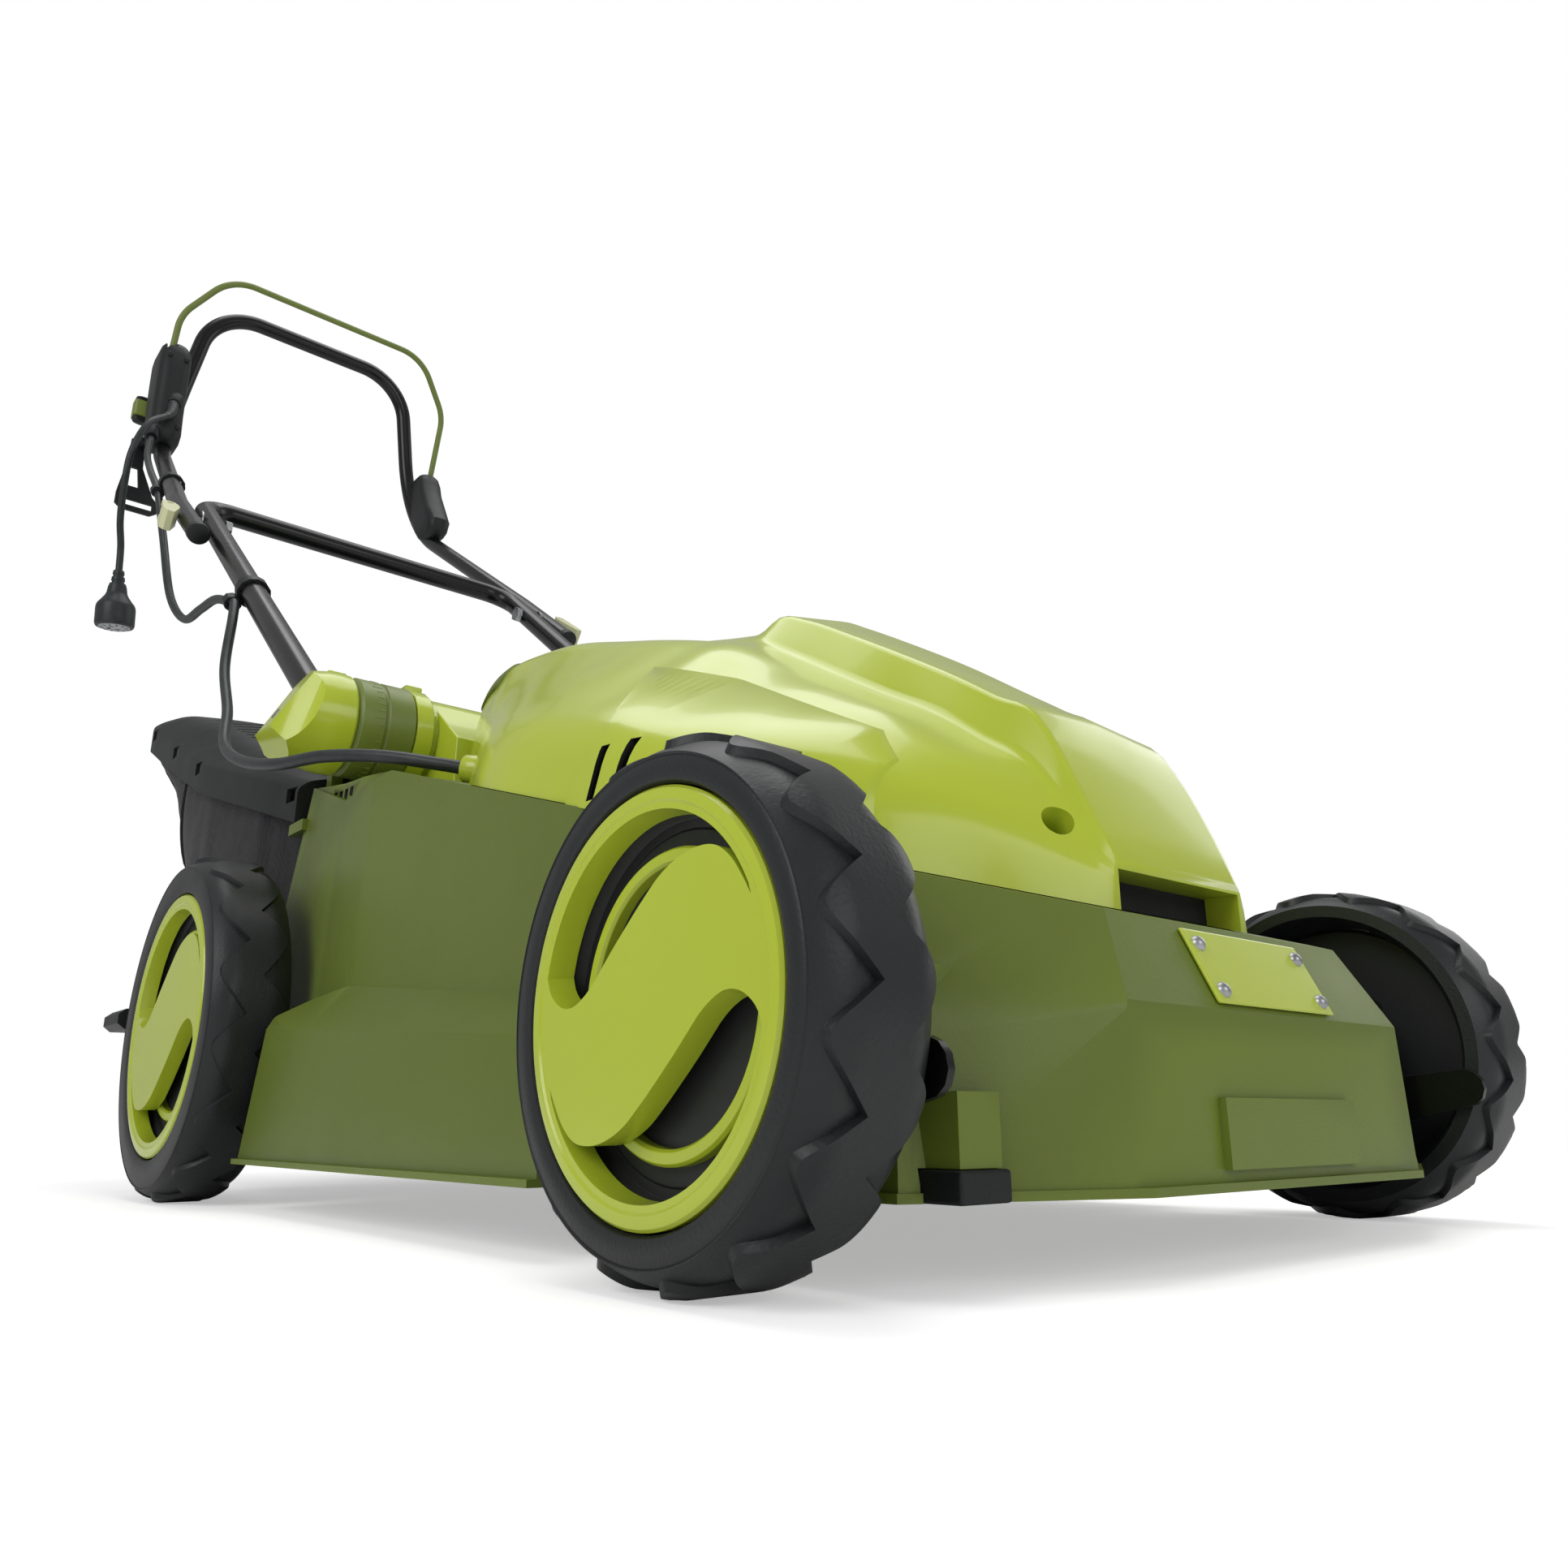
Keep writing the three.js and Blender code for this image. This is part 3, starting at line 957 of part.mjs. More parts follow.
function switchBox() {
  const outline = [
    [1218, 900], [1240, BOX.bottom], [1278, BOX.bottom], [1288, 925], [1303, 950], [1309, 1000], [1306, BOX.top - 6],
    [1298, BOX.top], [1254, BOX.top], [1246, BOX.top - 8], [1250, 985], [1240, 940],
  ];
  const body = prism('x', outline, -BOX.outer, -BOX.inner);
  const hookHole = rod('y', HOOK.pin + RUNNING_GAP, 1262, 1290, [-HOOK.x, HOOK.z], 12);
  const button = block(
    -BUTTON.x - BUTTON.half - GAP, -BUTTON.x + BUTTON.half + GAP, 1303 - BUTTON.proud, 1330,
    BUTTON.bottom - GAP, BUTTON.top + GAP,
  );
  return cut(
    join(body, gland(PIGTAIL_ENTRY, PIGTAIL_WAY, 32)), gripTunnel, bailRoom(-1), hookHole, button,
  );
}

function bailBracket() {
  const outline = [
    [1182, 884], [1200, BRACKET.bottom], [1272, 912], [1294, 950], [1294, BRACKET.top - 6], [1286, BRACKET.top],
    [1252, BRACKET.top], [1244, BRACKET.top - 8], [1238, 950],
  ];
  return cut(prism('x', outline, BRACKET.inner, BRACKET.outer), gripTunnel, bailRoom(1));
}

function lockButton() {
  return block(
    -BUTTON.x - BUTTON.half, -BUTTON.x + BUTTON.half, 1303, 1303 + BUTTON.proud, BUTTON.bottom, BUTTON.top,
  );
}

// the cord hook hangs behind the switch box and swings on its own pin
function cordHook() {
  const y0 = 1288.6;
  const { x, z, foot } = HOOK;
  const outline = [
    [-x - 8, z + 9], [-x - 10, z - 30], [-x - 16, foot + 22], [-x - 16, foot + 6], [-x - 8, foot], [-x + 26, foot],
    [-x + 34, foot + 6], [-x + 34, foot + 18], [-x + 26, foot + 26], [-x + 10, z - 30], [-x + 8, z + 9],
  ];
  const slot = [[-x - 9, foot + 7], [-x + 27, foot + 7], [-x + 27, foot + 15], [-x - 9, foot + 15]];
  const neck = [[-x - 4, foot + 34], [-x + 8, foot + 34], [-x + 4, z - 32], [-x - 4, z - 32]];
  return join(
    prism('y', outline, y0, y0 + HOOK.thickness, [slot, neck]),
    rod('y', HOOK.pin, 1266, y0 + 1, [-x, z], 12),
  );
}

piece('switch_box', switchBox(), 'black');
piece('lock_button', lockButton(), 'darkOlive');
piece('bail_bracket', bailBracket(), 'black');
piece('bail_rod', bailRod(), 'darkOlive');
piece('cord_hook', cordHook(), 'black');

// ---------------------------------------------------------------- cables
const points = (list) => list.map(([x, y, z]) => new THREE.Vector3(x, y, z));

class CordPath extends THREE.Curve {
  constructor(route, steps) {
    super();
    this.curve = new THREE.CatmullRomCurve3(points(route), false, 'centripetal');
    this.steps = steps;
  }

  getPoint(t, target) {
    return this.curve.getPointAt(t, target);
  }
}

const pigtailRoute = [
  PIGTAIL_ENTRY, [-180, 1219, 926], [-206, 1197, 890], [-219, 1197, 845], [-219, 1212, 800],
  [-212, 1240, 752], [-203, 1264, 731], [-201, 1274, 707],
];
const upperCableRoute = [
  [-195, 1229, 895.4], [-197, 1219, 878], [-204, 1180, 838], [-208, 1120, 788], [-208, 1057, 733], [-206, 1000, 655],
  [-202, 935, 560], [-198, 880, 520], [-198, 820, 510], [-198, 770, 502], [-196, 722, 483],
];
const lowerCableRoute = [
  [-195.9, 721.2, 482.7], [-196, 713, 479.2], [-199, 699, 460], [-207, 670, 405], [-213, 620, 352], [-224, 570, 310], [-227, 512, 284],
  [-222, 450, 268], [-205, 410, 265], [-180, 385, 263], CABLE_ENTRY,
];

piece('pigtail_cord', pipe(new CordPath(pigtailRoute, PIGTAIL_STEPS), CABLE_RADIUS, 8), 'cord');
piece('motor_cable_upper', pipe(new CordPath(upperCableRoute, CABLE_STEPS), CABLE_RADIUS, 8), 'cord');
piece('motor_cable_lower', pipe(new CordPath(lowerCableRoute, CABLE_STEPS), CABLE_RADIUS, 8), 'cord');

const plugTop = points(pigtailRoute)[pigtailRoute.length - 1];
const plugWay = new CordPath(pigtailRoute, PIGTAIL_STEPS).getTangent(1);
piece('pigtail_plug', turned([
  [0, GAP], [6, GAP], [8, 14], [11, 22], [12, 30], [PLUG_RADIUS - 4, 40], [PLUG_RADIUS, 46],
  [PLUG_RADIUS, 70], [PLUG_RADIUS - 3, 74], [PLUG_RADIUS - 5, 74], [PLUG_RADIUS - 5, 70], [0, 70],
], plugTop, plugWay, 16), 'cord');

// ---------------------------------------------------------------- grass bag
function lidRing([y, z, half, dome], inset, drop) {
  const top = z + LID_RIM - inset;
  const right = [
    [0, top + 10 + dome], [half * 0.55, top + 8 + dome], [half * 0.84, top + 6 + dome * 0.7],
    [half - 8 - inset * 0.4, top + 3], [half - inset, top - 4], [half - inset, z - drop],
  ];
  return [...right, ...right.slice(1).map(([x, v]) => [-x, v]).reverse()].map(([x, v]) => [x, y, v]);
}

function bagLid() {
  const outer = loft(LID.map((station) => lidRing(station, 0, 0)));
  const last = LID.length - 1;
  const inner = loft(LID.map((station, i) => {
    const [y, z, half, dome] = station;
    const shift = i === 0 ? LID_WALL : i === last ? -LID_WALL : 0;
    return lidRing([y + shift, z, half, dome], LID_WALL, 40);
  }));
  const louvres = Array.from({ length: 8 }, (_, i) => {
    const y = 900 - i * 18;
    return block(-118, 118, y, y + 5, 300, 500);
  });
  const slots = cut(join(louvres), block(-6, 6, 0, 2000, 0, 1000));
  return cut(outer, inner, slots);
}

function rimAt(y) {
  const i = Math.max(0, LID.findIndex((station) => station[0] > y) - 1);
  const [a, b] = [LID[i], LID[i + 1]];
  const share = (y - a[0]) / (b[0] - a[0]);
  return { z: a[1] + share * (b[1] - a[1]), half: a[2] + share * (b[2] - a[2]) };
}

function clothRing([yLow, zLow, yHigh, halfLow], inset) {
  const rim = rimAt(Math.max(yHigh, LID[0][0]));
  const halfHigh = rim.half - CLOTH_INSET - LID_WALL - inset;
  const high = rim.z - GAP + (inset > 0 ? 30 : 0);
  const low = zLow + inset;
  const half = halfLow - inset;
  const lift = Math.min(24, (high - low) * 0.3);
  const yAt = (z) => yLow + (yHigh - yLow) * (z - zLow) / (rim.z - GAP - zLow);
  const right = [[0, low], [half * 0.8, low], [half, low + lift], [halfHigh, high], [0, high]];
  const left = right.slice(1, -1).map(([x, z]) => [-x, z]).reverse();
  return [...right, ...left].map(([x, z]) => [x, yAt(z), z]);
}

function bagCloth() {
  const outer = loft(CLOTH.map((station) => clothRing(station, 0)));
  const last = CLOTH.length - 1;
  const inner = loft(CLOTH.map(([yLow, zLow, yHigh, half], i) => {
    const shift = i === 0 ? CLOTH_WALL : i === last ? -CLOTH_WALL : 0;
    return clothRing([yLow + shift, zLow, yHigh + shift, half], CLOTH_WALL);
  }));
  const mouth = block(-MOUTH.half, MOUTH.half, 500, 660, MOUTH.bottom, MOUTH.top);
  return cut(outer, inner, mouth);
}

// the flap lies on the lid while the bag is on
function rearFlap() {
  const tilt = Math.atan2(LID[1][1] + LID[1][3] - LID[0][1] - LID[0][3], LID[1][0] - LID[0][0]);
  const way = [Math.cos(tilt), Math.sin(tilt)];
  const at = (along, out) => [FLAP.y + along * way[0] - out * way[1], FLAP.z + along * way[1] + out * way[0]];
  const plate = prism('x', [
    at(0, FLAP.barrel - FLAP.thickness), at(FLAP.length, FLAP.barrel - FLAP.thickness),
    at(FLAP.length, FLAP.barrel), at(0, FLAP.barrel),
  ], -FLAP.half, FLAP.half);
  const barrel = rod('x', FLAP.barrel, -FLAP.half, FLAP.half, flapAt, 12);
  const pin = rod('x', FLAP.pin, -FLAP.half - FLAP.ear, FLAP.half + FLAP.ear, flapAt, 12);
  return join(plate, barrel, pin);
}

piece('bag_lid', bagLid(), 'black');
piece('bag_cloth', bagCloth(), 'cloth');
piece('rear_flap', rearFlap(), 'black');

// ---------------------------------------------------------------- cable clips
function cableClip(path, cable, spot, way, tubeRadius) {
  const ends = [-0.5, 0.5].map((share) => spot.clone().addScaledVector(way, share * CLIP_LENGTH));
  const ring = pipe(new BentPath(ends, []), tubeRadius + GAP + CLIP_WALL, 12);
  const holder = pipe(new BentPath([
    cable.clone().addScaledVector(way, -0.5 * CLIP_LENGTH), cable.clone().addScaledVector(way, 0.5 * CLIP_LENGTH),
  ], []), CABLE_RADIUS + GAP + CLIP_WALL, 8);
  return join(ring, holder);
}

const clipY = 1057;
const taper = (clipY - UPPER.knee) / (BEND.y - UPPER.knee);
const upperSpot = onUpper(-upperHalf + taper * (upperHalf - BEND.half), clipY);
const lowerSpot = lowerPoint(-LOWER.half, alongAt(722));
const upperClip = cableClip(upperPath, new THREE.Vector3(-208, 1057, 733), upperSpot, upperWay, UPPER.tube);
const lowerClip = cableClip(lowerPath, new THREE.Vector3(-196, 722, 483), lowerSpot, lowerWay, LOWER.tube);
const cableBores = [upperCableRoute, lowerCableRoute].map((route) => pipe(
  new CordPath(route, CABLE_STEPS), CABLE_RADIUS + GAP, 8,
));

piece('cable_clip_upper', cut(upperClip, gripTunnel, cableBores), 'black');
piece('cable_clip_lower', cut(lowerClip, pipe(lowerPath, LOWER.tube + GAP), cableBores), 'black');

// ---------------------------------------------------------------- origin at the middle of the footprint
const box = new THREE.Box3();
for (const mesh of mower.children) {
  if (!cordNodes.has(mesh.name)) box.expandByObject(mesh, true);
}
const middle = box.getCenter(new THREE.Vector3());
mower.position.set(-middle.x, -middle.y, -box.min.z);

const model = new THREE.Group();
model.add(mower);
export default model;
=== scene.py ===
"""Corded rotary lawn mower: finishes, moulded detail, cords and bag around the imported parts."""
import json
import math

import bmesh
import bpy
from mathutils import Matrix, Vector, noise


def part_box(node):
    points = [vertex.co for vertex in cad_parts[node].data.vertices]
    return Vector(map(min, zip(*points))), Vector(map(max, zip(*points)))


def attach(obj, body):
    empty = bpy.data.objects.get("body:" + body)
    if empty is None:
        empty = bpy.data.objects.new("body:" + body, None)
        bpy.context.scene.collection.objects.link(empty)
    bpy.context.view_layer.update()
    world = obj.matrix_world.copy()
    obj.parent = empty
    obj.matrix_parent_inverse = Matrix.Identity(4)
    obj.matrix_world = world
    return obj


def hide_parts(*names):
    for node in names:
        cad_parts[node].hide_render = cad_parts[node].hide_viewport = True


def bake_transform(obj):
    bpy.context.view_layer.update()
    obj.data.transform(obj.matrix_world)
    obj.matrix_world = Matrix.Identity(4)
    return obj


bl_info = {
    "name": "Corded lawn mower",
    "version": (1, 0, 0),
    "blender": (4, 5, 0),
    "location": "View3D > Sidebar > Mower",
    "description": "Dresses the mower's packed parts with moulded detail and real finishes",
    "category": "Object",
}

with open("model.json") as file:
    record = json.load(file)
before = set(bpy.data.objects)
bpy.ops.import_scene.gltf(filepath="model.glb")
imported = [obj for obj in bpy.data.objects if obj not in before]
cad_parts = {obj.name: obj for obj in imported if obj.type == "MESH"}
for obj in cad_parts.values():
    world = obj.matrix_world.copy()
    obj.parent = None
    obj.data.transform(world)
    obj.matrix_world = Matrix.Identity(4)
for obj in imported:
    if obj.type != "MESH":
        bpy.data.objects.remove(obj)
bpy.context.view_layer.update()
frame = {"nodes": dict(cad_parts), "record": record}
MM = 0.001
WELD = 0.001 * MM  # points nearer than this are one point
AXLE_Y = sum(corner.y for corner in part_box("front_right_wheel_core")) / 2 / MM
SIDES = (("right", -1), ("left", 1))
ENDS = ("front", "rear")


# ---------------------------------------------------------------- sizes that the pieces share
def place(x, y, z):
    """Millimetres from the ground under the front axle, as a point of the frame in metres."""
    return Vector((x, y + AXLE_Y, z)) * MM


class Sizes(bpy.types.PropertyGroup):
    """Sizes that a user may change, in metres."""

    cable: bpy.props.FloatProperty(
        name="Cable diameter", description="Outside diameter of the cord's sheath",
        default=0.008, min=0.006, max=0.009, unit="LENGTH", subtype="DISTANCE")
    grain: bpy.props.FloatProperty(
        name="Moulded grain", description="Spacing of the grain on black and olive plastic",
        default=0.0012, min=0.0005, max=0.003, unit="LENGTH", subtype="DISTANCE")
    thread: bpy.props.FloatProperty(
        name="Thread spacing", description="Spacing of the bag cloth's threads as drawn",
        default=0.0016, min=0.0006, max=0.004, unit="LENGTH", subtype="DISTANCE")


def colour_property(name, description, hex_text):
    """A colour that a user may change, as text."""
    return bpy.props.StringProperty(name=name, description=description, default=hex_text)


class Colours(bpy.types.PropertyGroup):
    """The object's colours, as sRGB hex."""

    lime: colour_property("Lime", "Hood, wheel covers and pivot caps", "b0bf33")
    olive: colour_property("Olive", "Deck", "5f6e26")
    band: colour_property("Dark olive", "Pivot bands, hood pads, the bail and the lock button's face", "66742f")
    lever: colour_property("Pale olive", "Clamp levers", "c6c79c")
    black: colour_property("Black plastic", "Lid, switch box, clips and hook", "191b1c")
    rubber: colour_property("Tyre", "Tyres", "1b1d1f")
    dish: colour_property("Wheel dish", "Grey dish behind the wheel cover", "2b2c2d")
    enamel: colour_property("Tube enamel", "Handle tubes", "0c0d0e")
    cloth: colour_property("Bag cloth", "Grass bag", "141217")
    sheath: colour_property("Cord sheath", "Cords and plug", "232829")
    steel: colour_property("Zinc plating", "Bolts, nuts and axles", "a9abad")


# ---------------------------------------------------------------- materials
def linear(hex_text):
    """sRGB hex to the linear colour that the shaders use."""
    levels = [int(hex_text[i:i + 2], 16) / 255 for i in (0, 2, 4)]
    return tuple(v / 12.92 if v <= 0.04045 else ((v + 0.055) / 1.055) ** 2.4 for v in levels) + (1,)


def shade(hex_text, factor):
    """The same colour, lighter or darker."""
    return tuple(min(1.0, v * factor) for v in linear(hex_text)[:3]) + (1,)


def add_node(tree, kind, settings=None, values=None, links=None):
    """One node with its settings, its socket values and its links from other nodes' sockets."""
    node = tree.nodes.new("ShaderNode" + kind)
    for key, value in (settings or {}).items():
        setattr(node, key, value)
    for key, value in (values or {}).items():
        node.inputs[key].default_value = value
    for key, socket in (links or {}).items():
        tree.links.new(socket, node.inputs[key])
    return node


def ramp(tree, factor, stops):
    """A colour ramp between stops of (position, colour)."""
    node = add_node(tree, "ValToRGB", links={"Fac": factor})
    while len(node.color_ramp.elements) < len(stops):
        node.color_ramp.elements.new(0.5)
    for element, (position, colour) in zip(node.color_ramp.elements, stops):
        element.position, element.color = position, colour
    return node.outputs["Color"]


def new_material(name, values):
    """An empty material, its tree, its shader with values on the sockets, and object coordinates in metres."""
    material = bpy.data.materials.new(name)
    material.use_nodes = True
    tree = material.node_tree
    shader = tree.nodes["Principled BSDF"]
    for key, value in values.items():
        shader.inputs[key].default_value = value
    place_of = add_node(tree, "TexCoord").outputs["Object"]
    return material, tree, shader, place_of


def speckled(tree, where, spacing, detail=2.0):
    """Noise whose blotches are about one spacing apart, in metres."""
    return add_node(tree, "TexNoise", values={"Scale": 1 / spacing, "Detail": detail},
                    links={"Vector": where}).outputs["Fac"]


def bump(tree, shader, height, depth, strength=0.5):
    """Relief of a depth in metres on the shader's normal."""
    node = add_node(tree, "Bump", values={"Distance": depth, "Strength": strength}, links={"Height": height})
    tree.links.new(node.outputs["Normal"], shader.inputs["Normal"])


def haze(tree, shader, factor, low, high):
    """Roughness that drifts between two values."""
    drift = add_node(tree, "MapRange", values={"To Min": low, "To Max": high}, links={"Value": factor})
    tree.links.new(drift.outputs["Result"], shader.inputs["Roughness"])


def mottle(tree, shader, factor, hex_text, dark, light):
    """A base colour that drifts between two tones of one colour, each given as (position, share)."""
    tones = [(position, shade(hex_text, share)) for position, share in (dark, light)]
    tree.links.new(ramp(tree, factor, tones), shader.inputs["Base Color"])


def moulded(name, hex_text, roughness, grain, depth, coat=0.0, spread=0.05, wear=0.0, specular=0.5):
    """Injection-moulded plastic: a fine texture from the mould's surface, faint tone drift, and rubbed edges."""
    material, tree, shader, where = new_material(name, {
        "Roughness": roughness, "IOR": 1.49, "Coat Weight": coat, "Coat Roughness": 0.06,
        "Specular IOR Level": specular})
    drift = speckled(tree, where, 0.14, 3)
    tone = ramp(tree, drift, [(0.3, shade(hex_text, 1 - spread)), (0.7, shade(hex_text, 1 + spread))])
    if wear:
        edge = add_node(tree, "NewGeometry").outputs["Pointiness"]
        rubbed = add_node(tree, "MapRange", values={"From Min": 0.53, "From Max": 0.60, "To Max": wear},
                          links={"Value": edge}).outputs["Result"]
        tone = add_node(tree, "Mix", {"data_type": "RGBA"}, {"B": shade(hex_text, 1.9)},
                        {"Factor": rubbed, "A": tone}).outputs["Result"]
    tree.links.new(tone, shader.inputs["Base Color"])
    haze(tree, shader, speckled(tree, where, 0.03, 4), roughness - 0.06, roughness + 0.08)
    bump(tree, shader, speckled(tree, where, grain, 1), depth)
    return material


def plain(name, hex_text, **values):
    """A finish that starts from one colour and socket values only."""
    return new_material(name, {"Base Color": linear(hex_text), **values})


def make_finishes(colours, sizes):
    """Every finish, by the name of the record's slot or of the place that wears it."""
    grain, thread = sizes.grain, sizes.thread
    # glossy ABS straight from a polished mould: clean reflections with a slow waviness
    lime = moulded("abs_moulded_gloss_lime", colours.lime, 0.22, 0.02, 0.00010, coat=0.2, spread=0.025, specular=0.45)
    # polypropylene from a spark-eroded mould: satin, with a fine even grain
    olive = moulded("polypropylene_textured_olive", colours.olive, 0.40, grain, 0.00012, spread=0.05, wear=0.25,
                    specular=0.35)
    # nylon: satin, with paler rubbed edges, so the bands part from the glossy caps beside them
    band = moulded("nylon_moulded_dark_olive", colours.band, 0.42, grain, 0.0001, wear=0.3)
    # nylon again, paler and less worn: the clamp levers stand out from the black tubes
    lever = moulded("nylon_moulded_pale_olive", colours.lever, 0.38, grain, 0.00006, wear=0.15)
    # black ABS with a coarser grain, so its edges read paler than its faces
    black = moulded("abs_textured_black", colours.black, 0.46, grain, 0.00018, wear=0.3, specular=0.28)
    # polyethylene tyre: dull, waxy, faintly dusty in its hollows
    tyre = moulded("polyethylene_moulded_tyre", colours.rubber, 0.42, 0.0016, 0.00022, spread=0.12, wear=0.5,
                   specular=0.4)
    # plain dark polypropylene behind the windows: it reads as depth, not as a second black
    dish = moulded("polypropylene_moulded_grey", colours.dish, 0.42, grain, 0.00008, spread=0.04, specular=0.25)
    # the inside of a slot: painted shade, the same plastic coloured near black as if no light fell on it, so an opening
    # reads as open
    painted_shade = moulded("polypropylene_unlit_inside", "0c0d0c", 0.8, grain, 0.0001)
    # pale grey nylon: the one light-coloured spot on the plug; its pin holes and the notches round it are painted near
    # black as shade
    socket = moulded("nylon_moulded_grey", "9c9ea0", 0.45, grain, 0.00006)
    return {
        "lime": lime, "olive": olive, "dark_olive": band, "pale_olive": lever, "black": black, "tyre": tyre,
        "dish": dish, "painted_shade": painted_shade, "plug_face": socket, "tube": powder_coat(colours.enamel),
        "steel": zinc(colours.steel), "cloth": woven(colours.cloth, thread), "cord": pvc(colours.sheath),
    }


def powder_coat(hex_text):
    """Powder coating on drawn steel tube: deep gloss black whose skin has a fine orange peel."""
    material, tree, shader, where = plain("steel_powder_coated_gloss_black", hex_text, **{
        "Roughness": 0.26, "IOR": 1.5, "Coat Weight": 0.1, "Coat Roughness": 0.15, "Specular IOR Level": 0.3})
    bump(tree, shader, speckled(tree, where, 0.008, 1), 0.00006, 0.3)
    haze(tree, shader, speckled(tree, where, 0.05, 4), 0.2, 0.34)
    return material


def zinc(hex_text):
    """Zinc-plated steel: bright grey with a cloudy passivated skin."""
    material, tree, shader, where = plain("steel_zinc_plated", hex_text, **{"Metallic": 1.0, "Roughness": 0.32})
    cloud = speckled(tree, where, 0.006, 4)
    mottle(tree, shader, cloud, hex_text, (0.3, 0.72), (0.7, 1.08))
    haze(tree, shader, cloud, 0.25, 0.48)
    bump(tree, shader, speckled(tree, where, 0.0012, 2), 0.00008, 0.4)
    return material


def woven(hex_text, spacing):
    """Woven polyester: two crossing sets of threads, a soft sheen and slubs of uneven tone.

    The real threads are about 0.5 mm apart; they are drawn coarser so that they show."""
    material, tree, shader, where = plain("polyester_woven_black", hex_text, **{
        "Roughness": 0.85, "Sheen Weight": 0.25, "Sheen Roughness": 0.4, "Specular IOR Level": 0.3})
    scale = 2 * math.pi / spacing / 20
    bands = [add_node(tree, "TexWave", {"bands_direction": way}, {"Scale": scale, "Distortion": 0.6,
             "Detail": 1.0}, {"Vector": where}).outputs["Fac"] for way in ("X", "Z", "Y")]
    crossed = add_node(tree, "Math", {"operation": "MULTIPLY"}, links={0: bands[0], 1: bands[1]}).outputs[0]
    height = add_node(tree, "Math", {"operation": "ADD"}, links={0: crossed, 1: bands[2]}).outputs[0]
    bump(tree, shader, height, 0.0004, 0.6)
    mottle(tree, shader, speckled(tree, where, 0.012, 5), hex_text, (0.3, 0.75), (0.7, 1.5))
    return material


def pvc(hex_text):
    """Extruded PVC sheath: dull black with fine lengthwise drag marks and dust."""
    material, tree, shader, where = plain("pvc_extruded_sheath", hex_text, **{
        "Roughness": 0.42, "IOR": 1.53, "Specular IOR Level": 0.35})
    mottle(tree, shader, speckled(tree, where, 0.01, 4), hex_text, (0.35, 0.8), (0.75, 1.35))
    bump(tree, shader, speckled(tree, where, 0.0015, 2), 0.00012, 0.4)
    return material


# ---------------------------------------------------------------- shaping
FINISH = {}
BODY = {node: body for body, nodes in frame["record"]["behaviour"]["bodies"].items() for node in nodes}


